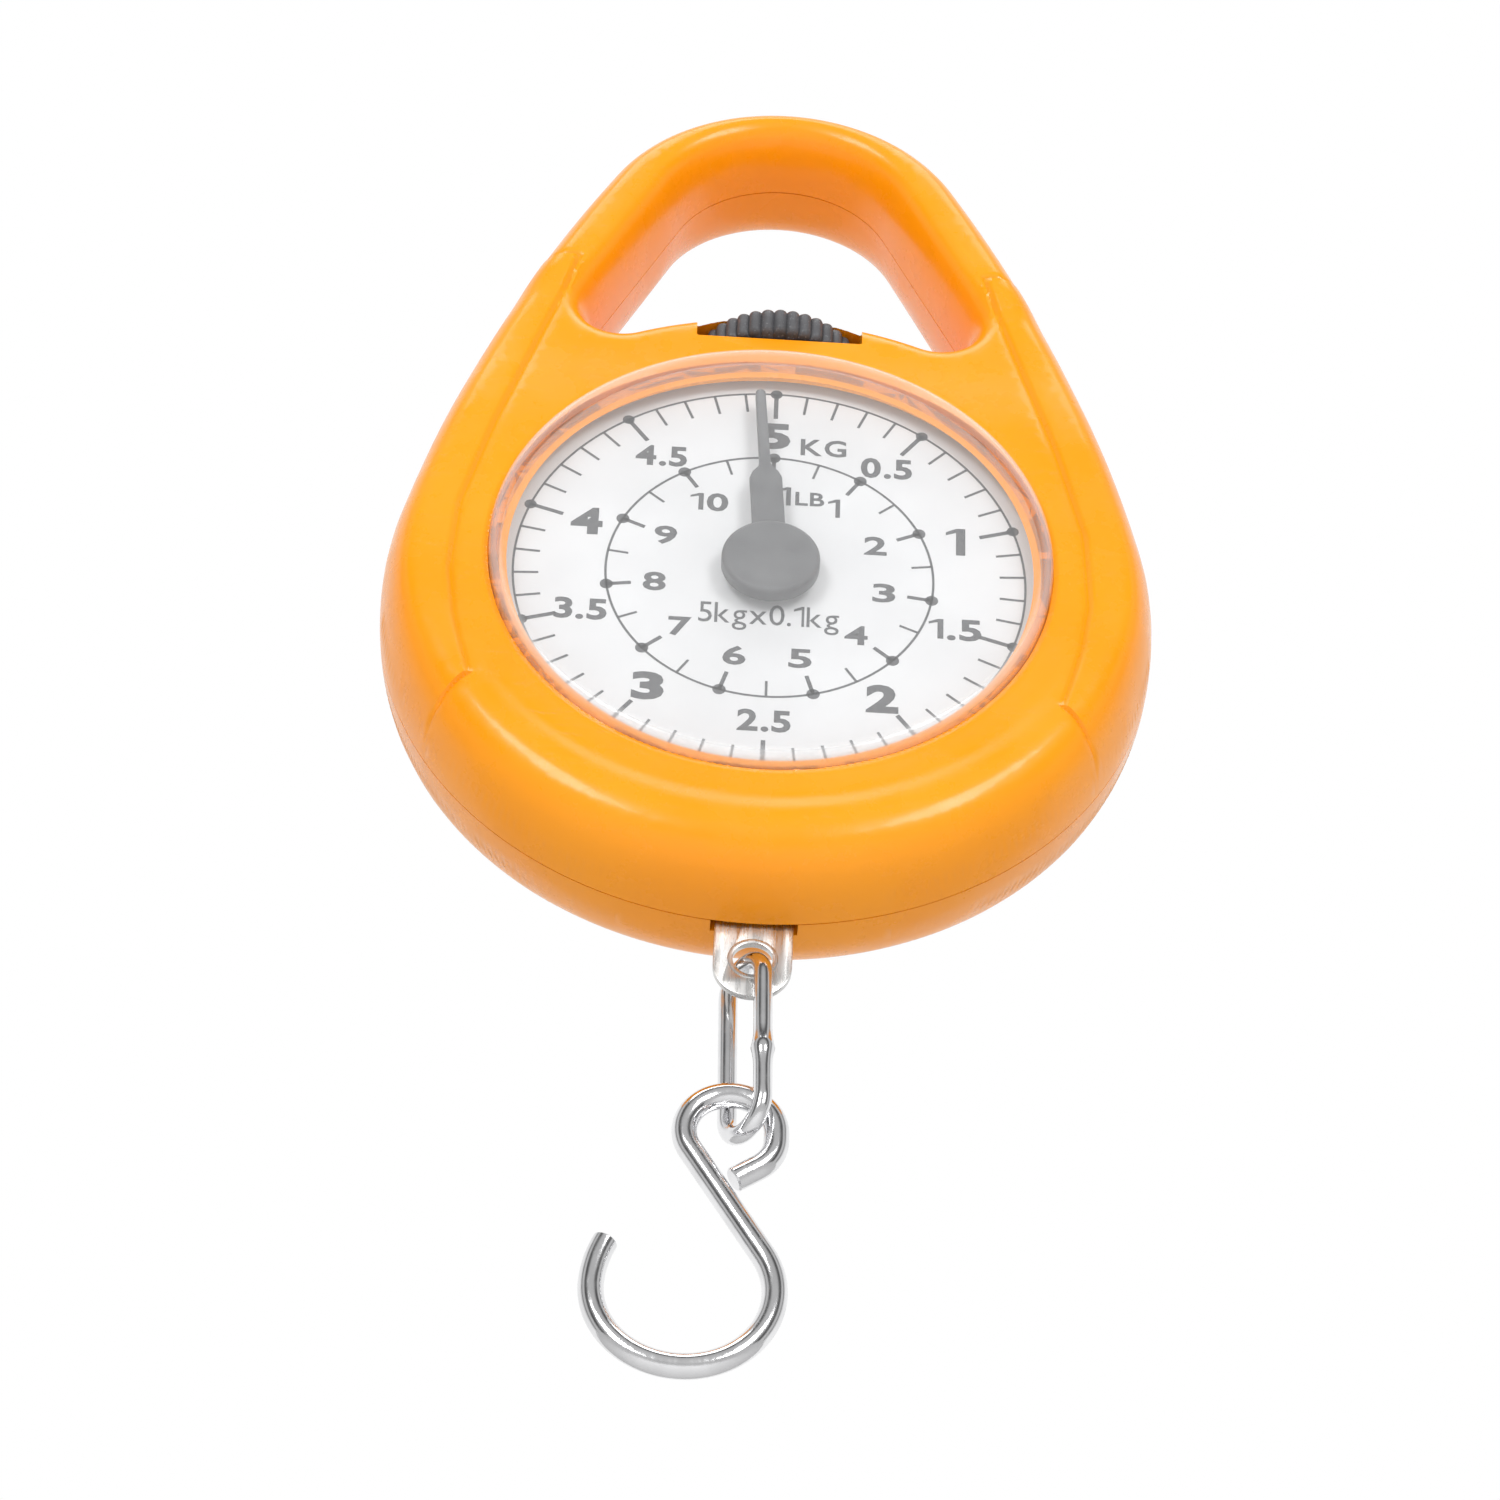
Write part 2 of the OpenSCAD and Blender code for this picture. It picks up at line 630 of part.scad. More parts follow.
// Middle line of the hook in the XZ plane: tail, corner and ring of the eye, shank, bowl and tip
function hook_route() =
    let (corner = [eye_x + eye_r - eye_corner_r, eye_z - eye_side],
        tail = polar(polar(corner, eye_corner_r, -eye_corner), eye_tail, -90 - eye_corner),
        bowl_end = shank_dir + 90 - bowl_turn,
        tip = polar([bowl_x, bowl_z], bowl_r - tip_r, bowl_end))
    concat([tail], arc(corner[0], corner[1], eye_corner_r, -eye_corner, 0, 5),
        arc(eye_x, eye_z, eye_r, 0, 270 + shank_dir, 18),
        arc(bowl_x, bowl_z, bowl_r, shank_dir + 90, bowl_end, 22),
        arc(tip[0], tip[1], tip_r, bowl_end - tip_turn / 4, bowl_end - tip_turn, 3));

module s_hook() {
    color("silver") tube([for (p = hook_route()) [p[0], link_y, p[1]]], hook_wire / 2, 16);
}

front_shell();
rear_shell();
case_screws();
lens();
dial_plate();
pointer();
pointer_shaft();
pinion();
bridge_plate();
bridge_screws();
front_bush();
rear_bush();
load_plate();
rack_bar();
rack_rivets();
left_spring();
right_spring();
spring_yoke();
adjuster_screw();
zero_wheel();
wheel_insert();
thrust_washer();
chain_link();
s_hook();
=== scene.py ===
"""Hanging dial scale: fine shells, dial print, lens, wheel, strip, link and hook around the CAD frame."""
import math

import bmesh
import bpy
from mathutils import Matrix, Vector
from mathutils.geometry import delaunay_2d_cdt


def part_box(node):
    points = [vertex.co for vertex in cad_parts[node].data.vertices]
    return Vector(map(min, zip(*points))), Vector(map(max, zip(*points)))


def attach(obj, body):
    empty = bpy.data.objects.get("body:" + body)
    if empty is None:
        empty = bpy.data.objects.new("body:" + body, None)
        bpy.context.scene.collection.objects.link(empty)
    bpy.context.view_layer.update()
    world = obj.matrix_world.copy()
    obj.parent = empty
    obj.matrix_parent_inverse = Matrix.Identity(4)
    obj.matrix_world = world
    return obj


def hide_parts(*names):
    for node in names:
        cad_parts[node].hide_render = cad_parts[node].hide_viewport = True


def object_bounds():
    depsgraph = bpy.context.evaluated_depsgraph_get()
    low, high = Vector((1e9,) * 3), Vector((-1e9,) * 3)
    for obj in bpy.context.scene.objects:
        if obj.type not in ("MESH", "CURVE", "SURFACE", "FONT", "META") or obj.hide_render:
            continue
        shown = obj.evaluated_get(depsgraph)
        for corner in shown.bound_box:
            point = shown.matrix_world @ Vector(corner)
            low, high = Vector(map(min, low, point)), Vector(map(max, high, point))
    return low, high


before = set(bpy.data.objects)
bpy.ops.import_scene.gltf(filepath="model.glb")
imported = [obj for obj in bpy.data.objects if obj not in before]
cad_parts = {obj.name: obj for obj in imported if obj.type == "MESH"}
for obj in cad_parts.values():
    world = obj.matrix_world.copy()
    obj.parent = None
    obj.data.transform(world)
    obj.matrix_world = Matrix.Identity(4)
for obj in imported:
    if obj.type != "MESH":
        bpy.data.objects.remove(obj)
cad_low, cad_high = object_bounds()

MM = 0.001
TAU = 2 * math.pi

# Places, in millimetres of the row frame, read from the CAD
dial_low, dial_high = (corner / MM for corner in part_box("dial_plate"))
lens_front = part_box("lens")[0].y / MM
front_low, front_high = (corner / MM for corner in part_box("front_shell"))
wheel_low, wheel_high = (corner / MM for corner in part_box("zero_wheel"))
plate_low, plate_high = (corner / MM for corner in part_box("load_plate"))
DIAL_Z = (dial_low.z + dial_high.z) / 2
DIAL_Y = dial_low.y
FRONT_DEPTH = -front_low.y
REAR_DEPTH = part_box("rear_shell")[1].y / MM
ARCH_TOP = front_high.z - DIAL_Z

# Case outline, in millimetres from the centre of the dial: x to the right, z up
CASE_R = 47.12
CASE_DROP = 2.16
FLANK_R = 244.0
ARCH_OUTER_RISE = 58.17
ARCH_OUTER_R = 26.25
GAP_ARCH_R = 14.9
GAP_ARCH_RISE = 61.6
GAP_BAR_R = 47.0
GAP_CORNER_R = 4.0
GAP_CORNER_X = 20.2
SEAM_GAP = 0.07
WALL = 1.5

# Dial, lens and openings
WINDOW_R = 32.0
SEAT_R = 34.32
SEAT_Y = -9.2
KG_RING_R = 31.2
LB_RING_R = 19.96
LB_PER_TURN = 5 / 0.45359237
SLOT_HALF = 10.45
SLOT_LOW = 38.3
SLOT_HIGH = 42.6
STRIP_W = 9.2


# ---------------------------------------------------------------- helpers: numbers

def smooth(t):
    t = min(max(t, 0.0), 1.0)
    return t * t * (3 - 2 * t)


def lerp(a, b, t):
    return a + (b - a) * t


def bump(x, width):
    return math.exp(-(x / width) ** 2)


def through(points, at):
    """Height of a broken line through a few (at, height) points, flat past its ends."""
    if at <= points[0][0]:
        return points[0][1]
    for (a, low), (b, high) in zip(points, points[1:]):
        if at <= b:
            return lerp(low, high, (at - a) / (b - a))
    return points[-1][1]


def polar(centre, r, turn):
    """Point at a distance from a centre, at an angle in radians."""
    return centre[0] + r * math.cos(turn), centre[1] + r * math.sin(turn)


# ---------------------------------------------------------------- helpers: shader nodes

class Shade:
    """One material with a Principled shader, whose colour, roughness and bump come from nodes."""

    def __init__(self, name, rough, metal=0.0, **sockets):
        self.material = bpy.data.materials.new(name)
        self.material.use_nodes = True
        self.tree = self.material.node_tree
        self.out = self.tree.nodes["Principled BSDF"]
        self.out.inputs["Metallic"].default_value = metal
        self.out.inputs["Roughness"].default_value = rough
        for socket, value in sockets.items():
            self.out.inputs[socket.replace("_", " ")].default_value = value
        self.place = self.tree.nodes.new("ShaderNodeTexCoord").outputs["Object"]

    def link(self, source, target):
        self.tree.links.new(source, target)

    def node(self, kind, **values):
        made = self.tree.nodes.new(kind)
        for key, value in values.items():
            setattr(made, key, value)
        return made

    def noise(self, size, detail=3.0, rough=0.5, stretch=(1, 1, 1), distort=0.0):
        """Noise whose features are about size millimetres, stretched along an axis."""
        place = self.node("ShaderNodeMapping")
        place.inputs["Scale"].default_value = [1 / (size * MM * s) for s in stretch]
        self.link(self.place, place.inputs["Vector"])
        made = self.node("ShaderNodeTexNoise")
        made.inputs["Scale"].default_value = 1.0
        made.inputs["Detail"].default_value = detail
        made.inputs["Roughness"].default_value = rough
        made.inputs["Distortion"].default_value = distort
        self.link(place.outputs["Vector"], made.inputs["Vector"])
        return made.outputs["Fac"]

    def radius(self, across, centre=(0, 0, 0)):
        """Distance in metres from a line; across is 0 along the line and 1 on the other axes."""
        place = self.node("ShaderNodeMapping")
        place.inputs["Location"].default_value = centre
        place.inputs["Scale"].default_value = across
        self.link(self.place, place.inputs["Vector"])
        made = self.node("ShaderNodeVectorMath", operation="LENGTH")
        self.link(place.outputs["Vector"], made.inputs[0])
        return made.outputs["Value"]

    def ramp(self, source, low, high, at=(0.3, 0.7)):
        """A number from low to high as the source goes across the stretch at."""
        made = self.node("ShaderNodeMapRange", interpolation_type="SMOOTHSTEP")
        made.inputs["From Min"].default_value, made.inputs["From Max"].default_value = at
        made.inputs["To Min"].default_value, made.inputs["To Max"].default_value = low, high
        self.link(source, made.inputs["Value"])
        return made.outputs["Result"]

    def mix(self, fac, a, b):
        """Colour a where fac is 0 and b where it is 1; a may be another node's colour."""
        made = self.node("ShaderNodeMix", data_type="RGBA")
        self.link(fac, made.inputs["Factor"])
        for value, socket in ((a, made.inputs["A"]), (b, made.inputs["B"])):
            if isinstance(value, tuple):
                socket.default_value = (*value, 1.0)
            else:
                self.link(value, socket)
        return made.outputs["Result"]

    def colour(self, source):
        self.link(source, self.out.inputs["Base Color"])

    def rough(self, source):
        self.link(source, self.out.inputs["Roughness"])

    def relief(self, *layers):
        """Bump from one or more (source, height in millimetres) layers."""
        normal = None
        for source, height in layers:
            made = self.node("ShaderNodeBump")
            made.inputs["Distance"].default_value = height * MM
            self.link(source, made.inputs["Height"])
            if normal:
                self.link(normal, made.inputs["Normal"])
            normal = made.outputs["Normal"]
        self.link(normal, self.out.inputs["Normal"])


# ---------------------------------------------------------------- materials

def orange_plastic():
    """Glossy moulded plastic: cloudy colour, faint orange peel, light scuffs."""
    s = Shade("orange_plastic", 0.25, Coat_Weight=0.22, Coat_Roughness=0.12, Specular_IOR_Level=0.32)
    cloudy = s.mix(s.ramp(s.noise(30, 3), 0, 1, (0.3, 0.7)), (1.0, 0.35, 0.004), (0.98, 0.325, 0.002))
    fleck = s.ramp(s.noise(0.35, 2, 0.6), 0, 0.5, (0.68, 0.8))
    s.colour(s.mix(fleck, cloudy, (1.0, 0.36, 0.008)))
    s.rough(s.ramp(s.noise(9, 6, 0.65), 0.2, 0.36))
    scuffs = s.ramp(s.noise(6, 8, 0.75, (1, 1, 0.12), 1.5), 0, 1, (0.6, 0.64))
    s.relief((s.noise(1.6, 2), 0.012), (s.noise(0.25, 2), 0.004), (scuffs, 0.006))
    return s.material


def clear_lens():
    """Clear moulded plastic, painted whiter and more opaque in its rim as a painted highlight, with a few
    hairline scratches.
    """
    s = Shade("clear_lens", 0.04, Coat_Weight=1.0, Coat_Roughness=0.03)
    s.colour(s.mix(s.noise(14, 3), (0.93, 0.95, 0.96), (0.97, 0.97, 0.97)))
    s.rough(s.ramp(s.noise(5, 8, 0.8, (1, 1, 0.08), 2.0), 0.03, 0.12, (0.6, 0.7)))
    # Painted highlight: the near-white lens turns more opaque towards its rim, so the rim shows as a
    # bright line of light.
    radius = s.radius((1, 0, 1), (0, 0, -DIAL_Z * MM))
    s.link(s.ramp(radius, 0.09, 0.32, (0.0322, 0.0336)), s.out.inputs["Alpha"])
    s.relief((s.noise(18, 2), 0.01))
    return s.material


def printed_white():
    """Satin white enamel of the dial, a little uneven."""
    s = Shade("printed_white", 0.45)
    s.colour(s.mix(s.ramp(s.noise(12, 5), 0, 1), (0.77, 0.775, 0.785), (0.71, 0.715, 0.725)))
    s.rough(s.ramp(s.noise(3, 4), 0.4, 0.52))
    s.relief((s.noise(0.3, 3), 0.004))
    return s.material


def printed_ink():
    """Dark grey printing ink, a little thin in places."""
    s = Shade("printed_ink", 0.5)
    s.colour(s.mix(s.ramp(s.noise(0.5, 4), 0, 1), (0.05, 0.051, 0.056), (0.085, 0.086, 0.092)))
    s.rough(s.ramp(s.noise(1, 3), 0.42, 0.6))
    return s.material


def pointer_plastic():
    """Dark grey moulded plastic with a satin face."""
    s = Shade("pointer_plastic", 0.42)
    s.colour(s.mix(s.ramp(s.noise(4, 4), 0, 1), (0.085, 0.086, 0.09), (0.115, 0.116, 0.12)))
    s.rough(s.ramp(s.noise(1.5, 4), 0.34, 0.5))
    s.relief((s.noise(0.4, 3), 0.01))
    return s.material


def wheel_plastic():
    """Black plastic, dusty in its serrations, with pale specks."""
    s = Shade("wheel_plastic", 0.5)
    dull = s.mix(s.ramp(s.noise(2.5, 5), 0, 1), (0.018, 0.018, 0.02), (0.045, 0.045, 0.05))
    dusty = s.mix(s.ramp(s.noise(0.28, 2, 0.7), 0, 0.8, (0.6, 0.72)), dull, (0.22, 0.22, 0.23))
    worn = s.ramp(s.radius((1, 1, 0)), 0, 0.3, (0.0104, 0.0112))
    s.colour(s.mix(worn, dusty, (0.2, 0.2, 0.21)))
    s.rough(s.ramp(s.noise(1, 4), 0.38, 0.62))
    s.relief((s.noise(0.3, 3), 0.02))
    return s.material


def metal(name, bright, dull, rough, grain, stretch=(1, 1, 1), scratch=0.004, smudge=9.0,
          ripple=0.006):
    """Metal with smudges, drawn or rolled grain and fine scratches."""
    s = Shade(name, rough[0], 1.0)
    s.colour(s.mix(s.ramp(s.noise(smudge, 5), 0, 1), bright, dull))
    lines = s.noise(grain, 6, 0.7, stretch, 0.4)
    s.rough(s.ramp(lines, rough[0], rough[1]))
    s.relief((lines, scratch), (s.noise(3, 3), ripple))
    return s.material


def plastic(name, light, dark, rough):
    """Plain moulded plastic for pieces inside the case."""
    s = Shade(name, rough[0])
    s.colour(s.mix(s.ramp(s.noise(6, 4), 0, 1), light, dark))
    s.rough(s.ramp(s.noise(2, 4), rough[0], rough[1]))
    s.relief((s.noise(0.5, 3), 0.01))
    return s.material


ORANGE = orange_plastic()
LENS = clear_lens()
DIAL_WHITE = printed_white()
INK = printed_ink()
POINTER = pointer_plastic()
WHEEL = wheel_plastic()
STRIP = metal("polished_strip", (0.66, 0.65, 0.63), (0.58, 0.575, 0.57), (0.2, 0.36), 0.5, (1, 1, 14),
              scratch=0.002, ripple=0.002)
CHROME = metal("bright_wire", (0.83, 0.83, 0.84), (0.74, 0.74, 0.75), (0.06, 0.2), 0.7, (1, 1, 5),
               smudge=5.0)
WELD = metal("weld_metal", (0.62, 0.61, 0.60), (0.45, 0.45, 0.46), (0.2, 0.42), 0.5,
             scratch=0.03, smudge=1.5)
CUT_STEEL = metal("cut_steel", (0.56, 0.55, 0.53), (0.40, 0.39, 0.38), (0.3, 0.5), 0.2, scratch=0.02)
STEEL = metal("turned_steel", (0.66, 0.66, 0.66), (0.52, 0.52, 0.53), (0.2, 0.36), 0.4, (1, 6, 1))
SCREW = metal("zinc_plated", (0.72, 0.73, 0.76), (0.60, 0.60, 0.60), (0.22, 0.4), 0.4, scratch=0.008)
SHEET = metal("galvanised_sheet", (0.62, 0.63, 0.65), (0.5, 0.51, 0.53), (0.28, 0.5), 2.0, scratch=0.01)
SPRING = metal("spring_wire", (0.5, 0.5, 0.5), (0.38, 0.38, 0.4), (0.22, 0.4), 0.3)
BRASS = metal("turned_brass", (0.80, 0.58, 0.25), (0.68, 0.46, 0.18), (0.18, 0.34), 0.4, (1, 6, 1))
RACK = plastic("rack_plastic", (0.72, 0.71, 0.67), (0.62, 0.61, 0.57), (0.4, 0.55))


# ---------------------------------------------------------------- helpers: meshes

def add_piece(name, mesh, materials, body, stands_for=(), sharp=35.0):
    """Puts a mesh, in millimetres of the row frame, into the scene as a piece that rides on a body."""
    mesh.transform(Matrix.Scale(MM, 4))
    mesh.polygons.foreach_set("use_smooth", [True] * len(mesh.polygons))
    mesh.set_sharp_from_angle(angle=math.radians(sharp))
    if len(materials) == 1:
        mesh.polygons.foreach_set("material_index", [0] * len(mesh.polygons))
    mesh.materials.clear()
    for material in materials:
        mesh.materials.append(material)
    piece = bpy.data.objects.new(name, mesh)
    bpy.context.scene.collection.objects.link(piece)
    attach(piece, body)
    if stands_for:
        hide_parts(*stands_for)
    return piece


def mesh_of(name, verts, faces):
    mesh = bpy.data.meshes.new(name)
    mesh.from_pydata(verts, [], faces)
    mesh.validate()
    return mesh


def lathe(name, profile, sides, z=DIAL_Z):
    """Closed ring or solid turned about a line along Y; the profile is a closed loop of (radius, y)."""
    n = len(profile)
    verts = [(r * math.cos(TAU * i / sides), y, z + r * math.sin(TAU * i / sides))
             for i in range(sides) for r, y in profile]
    faces = [(i * n + j, i * n + (j + 1) % n, (i + 1) % sides * n + (j + 1) % n, (i + 1) % sides * n + j)
             for i in range(sides) for j in range(n)]
    return tidied(mesh_of(name, verts, faces))


def tidied(mesh, distance=0.0005):
    """Merges doubled points, drops collapsed faces and turns all normals outward."""
    work = bmesh.new()
    work.from_mesh(mesh)
    bmesh.ops.remove_doubles(work, verts=work.verts, dist=distance)
    bmesh.ops.dissolve_degenerate(work, edges=work.edges, dist=distance / 10)
    bmesh.ops.recalc_face_normals(work, faces=work.faces)
    work.to_mesh(mesh)
    work.free()
    return mesh


def fillet(corner, r, start, end, steps=6):
    """Points of a round from one angle to the other, in degrees, about a centre."""
    return [polar(corner, r, math.radians(lerp(start, end, i / steps))) for i in range(steps + 1)]


def sweep(name, path, radii, plane, sides=28, closed=False):
    """Round wire along a path that lies in the plane with that normal."""
    n = len(path)
    side = Vector(plane).normalized()
    verts = []
    for i, (at, r) in enumerate(zip(path, radii)):
        before = path[i - 1] if closed or i else path[i]
        after = path[(i + 1) % n] if closed or i < n - 1 else path[i]
        out = (after - before).normalized().cross(side)
        verts += [at + r * (math.cos(TAU * k / sides) * out + math.sin(TAU * k / sides) * side)
                  for k in range(sides)]
    spans = range(n if closed else n - 1)
    faces = [(i * sides + k, i * sides + (k + 1) % sides,
              (i + 1) % n * sides + (k + 1) % sides, (i + 1) % n * sides + k)
             for i in spans for k in range(sides)]
    if not closed:
        faces += [tuple(range(sides))[::-1], tuple(range((n - 1) * sides, n * sides))]
    return tidied(mesh_of(name, verts, faces))


def joined(name, meshes):
    """One mesh of several, each with its own material index."""
    work = bmesh.new()
    for index, mesh in enumerate(meshes):
        before = len(work.faces)
        work.from_mesh(mesh)
        work.faces.ensure_lookup_table()
        for face in work.faces[before:]:
            face.material_index = index
        bpy.data.meshes.remove(mesh)
    made = bpy.data.meshes.new(name)
    work.to_mesh(made)
    work.free()
    return made


def cut(mesh, cutters):
    """The mesh less each of the cutters."""
    target = bpy.data.objects.new("cut_target", mesh)
    bpy.context.scene.collection.objects.link(target)
    tools = []
    for cutter in cutters:
        tool = bpy.data.objects.new("cut_tool", cutter)
        bpy.context.scene.collection.objects.link(tool)
        modifier = target.modifiers.new("cut", "BOOLEAN")
        modifier.operation = "DIFFERENCE"
        modifier.solver = "MANIFOLD"
        modifier.object = tool
        tools.append(tool)
    bpy.context.view_layer.update()
    evaluated = target.evaluated_get(bpy.context.evaluated_depsgraph_get())
    made = bpy.data.meshes.new_from_object(evaluated)
    bpy.data.objects.remove(target)
    for tool in tools:
        bpy.data.objects.remove(tool)
    return made


def block(low, high, r=0.0):
    """Box between two corners, with its edges along Y rounded."""
    x, z = (low[0] + high[0]) / 2, (low[2] + high[2]) / 2
    half_x, half_z = (high[0] - low[0]) / 2, (high[2] - low[2]) / 2
    corners = [(1, 1, 0), (-1, 1, 90), (-1, -1, 180), (1, -1, 270)]
    steps, edge = 4 if r else 1, []
    for a, b, turn in corners:
        edge += fillet((x + a * (half_x - r), z + b * (half_z - r)), r, turn, turn + 90, steps)
    return prism(edge, low[1], high[1])


def prism(outline, y1, y2):
    """Solid between two depths with an outline of (x, z) points."""
    n = len(outline)
    verts = [(x, y, z) for y in (y1, y2) for x, z in outline]
    faces = [(i, (i + 1) % n, n + (i + 1) % n, n + i) for i in range(n)]
    faces += [tuple(range(n))[::-1], tuple(range(n, 2 * n))]
    return tidied(mesh_of("prism", verts, faces))


def rod(x, z, r, y1, y2, sides=48):
    """Cylinder along Y, x and z from the centre of the dial."""
    return prism([(x + r * math.cos(TAU * i / sides), DIAL_Z + z + r * math.sin(TAU * i / sides))
                  for i in range(sides)], y1, y2)


# ---------------------------------------------------------------- case outline

centre_gap = ARCH_OUTER_RISE + CASE_DROP
to_case = FLANK_R - CASE_R
to_arch = FLANK_R - ARCH_OUTER_R
FLANK_Z = -CASE_DROP + (to_case ** 2 - to_arch ** 2 + centre_gap ** 2) / (2 * centre_gap)
FLANK_X = -math.sqrt(to_case ** 2 - (FLANK_Z + CASE_DROP) ** 2)
FLANK_FROM = math.atan2(-CASE_DROP - FLANK_Z, -FLANK_X)
FLANK_TO = math.atan2(ARCH_OUTER_RISE - FLANK_Z, -FLANK_X)
GAP_CORNER_Z = -CASE_DROP + math.sqrt((GAP_BAR_R + GAP_CORNER_R) ** 2 - GAP_CORNER_X ** 2)
CORNER_BEARING = math.atan2(GAP_CORNER_Z + CASE_DROP, GAP_CORNER_X)
leg_length = math.hypot(GAP_CORNER_X, GAP_ARCH_RISE - GAP_CORNER_Z)
leg_bearing = math.atan2(GAP_ARCH_RISE - GAP_CORNER_Z, -GAP_CORNER_X)
LEG_OUT = leg_bearing - math.pi / 2 - math.asin((GAP_ARCH_R - GAP_CORNER_R) / leg_length)
LEG_NORMAL = (math.cos(LEG_OUT), math.sin(LEG_OUT))
LEG_ALONG = (-LEG_NORMAL[1], LEG_NORMAL[0])


def arc(cx, cz, r, start, end, step):
    """Points of an arc, angles in radians, about step millimetres apart."""
    n = max(2, round(abs(end - start) * r / step))
    return [polar((cx, cz), r, lerp(start, end, i / n)) for i in range(n + 1)]


def whole(half):
    """A loop from its right half, whose two ends lie on the middle."""
    return half + [(-x, z) for x, z in half[-2:0:-1]]


def outline(inset, step):
    half = arc(0, -CASE_DROP, CASE_R - inset, -math.pi / 2, FLANK_FROM, step)[:-1]
    half += arc(FLANK_X, FLANK_Z, FLANK_R - inset, FLANK_FROM, FLANK_TO, step)[:-1]
    half += arc(0, ARCH_OUTER_RISE, ARCH_OUTER_R - inset, FLANK_TO, math.pi / 2, step)
    return whole(half)


def gap_outline(outset, step):
    half = arc(0, -CASE_DROP, GAP_BAR_R - outset, math.pi / 2, CORNER_BEARING, step)[:-1]
    half += arc(GAP_CORNER_X, GAP_CORNER_Z, GAP_CORNER_R + outset,
                CORNER_BEARING - math.pi, LEG_OUT, step / 2)
    arch = arc(0, GAP_ARCH_RISE, GAP_ARCH_R + outset, LEG_OUT, math.pi / 2, step)
    count = round(leg_length / step)
    half += [(lerp(half[-1][0], arch[0][0], i / count), lerp(half[-1][1], arch[0][1], i / count))
             for i in range(1, count)]
    return whole(half + arch)


def edge_distance(x, z):
    """How far a point lies inside the case outline."""
    x = abs(x)
    turn = math.atan2(z - FLANK_Z, x - FLANK_X)
    if turn < FLANK_FROM:
        return CASE_R - math.hypot(x, z + CASE_DROP)
    if turn > FLANK_TO:
        return ARCH_OUTER_R - math.hypot(x, z - ARCH_OUTER_RISE)
    return FLANK_R - math.hypot(x - FLANK_X, z - FLANK_Z)


def gap_distance(x, z):
    """How far a point lies outside the handle gap."""
    x = abs(x)
    from_bar = GAP_BAR_R - math.hypot(x, z + CASE_DROP)
    over_bar = math.atan2(z + CASE_DROP, x) > CORNER_BEARING
    if over_bar and from_bar >= 0:
        return from_bar
    if x * LEG_ALONG[0] + (z - GAP_ARCH_RISE) * LEG_ALONG[1] >= 0:
        return math.hypot(x, z - GAP_ARCH_RISE) - GAP_ARCH_R
    from_corner = (x - GAP_CORNER_X, z - GAP_CORNER_Z)
    if from_corner[0] * LEG_ALONG[0] + from_corner[1] * LEG_ALONG[1] >= 0:
        return from_corner[0] * LEG_NORMAL[0] + from_corner[1] * LEG_NORMAL[1] - GAP_CORNER_R
    return from_bar if over_bar else math.hypot(*from_corner) - GAP_CORNER_R


# ---------------------------------------------------------------- shells

def rounded(distance, width, power):
    """Share of the full depth at a distance from the edge, as a superellipse."""
    t = min(max(distance / width, 0.0), 1.0)
    return (1 - (1 - t) ** power) ** (1 / power)


# Share of the depth lost from the shoulders to the top, and the height of the shoulders
HANDLE_TAPER = 0.109
SHOULDER_Z = 30


def handle_taper(z):
    """Share of the full depth at a height."""
    return 1 - HANDLE_TAPER * min(max((z - SHOULDER_Z) / (ARCH_TOP - SHOULDER_Z), 0), 1)


# Inner edge of the raised pad on each flank: height and half-width there, from the bottom up
PAD_EDGE = [(-30, 33.0), (-22, 35.0), (-12.5, 37.4), (-5, 38.5), (6, 38.0), (20.3, 34.6), (36, 30.2),
            (48.5, 26.5), (54, 25.0)]
PAD_RAISE = 0.35
PAD_TOP = 51.5
PAD_GROOVE = 0.28
PAD_END_STEP = 0.25
PAD_SIDE_STEP = 0.9
PAD_LOW_X = 35.0
PAD_LOW_Z = -22
PAD_LOW_SLOPE = 0.94


def pad(x, z):
    """Height of the raised side pad: a groove along its inner edge and a crisp step at each end."""
    x = abs(x)
    from_top, from_low = PAD_TOP - z, z - low_end(x)
    in_side = x - through(PAD_EDGE, z)
    ends = smooth(from_low / PAD_END_STEP) * smooth(from_top / PAD_END_STEP)
    groove = bump(in_side, 0.3) * ends
    if in_side > 0:
        groove = max(groove, bump(from_top + 0.1, 0.25), bump(from_low + 0.1, 0.25))
    return PAD_RAISE * ends * smooth(in_side / PAD_SIDE_STEP) - PAD_GROOVE * groove


def low_end(x):
    """Height of the lower end of a side pad."""
    return PAD_LOW_Z - PAD_LOW_SLOPE * (x - PAD_LOW_X)


# Front shell: widths of its rounded edges, the dip round the wheel, the roll and the valley round
# the dial's lower half as (radius, height, width), and the lip of the lens seat as (height, width)
ROUND_UPPER = 4.3
ROUND_LOWER = 6.2
ROUND_GAP = 3.9
WHEEL_DIP = 0.7
ROLL = (42.0, 0.15, 2.4)
VALLEY = (37.6, 0.45, 2.2)
LIP = (0.35, 0.45)


def front_height(x, z):
    """Depth of the front shell's outer surface in front of the parting plane."""
    out, gap, r = edge_distance(x, z), gap_distance(x, z), math.hypot(x, z)
    low_part = smooth((-z - 2) / 22)
    face = FRONT_DEPTH - WHEEL_DIP * smooth((z - 20) / 16) * (1 - smooth((z - 44) / 6))
    edge = lerp(ROUND_UPPER, ROUND_LOWER, low_part)
    depth = face * handle_taper(z) * rounded(out, edge, 2.05) * rounded(gap, ROUND_GAP, 2.2)
    roll = low_part * (ROLL[1] * bump(r - ROLL[0], ROLL[2]) - VALLEY[1] * bump(r - VALLEY[0], VALLEY[2]))
    lip = -LIP[0] * bump(r - SEAT_R, LIP[1])
    return depth + roll + lip + pad(x, z) * rounded(out, 3.0, 2.0)


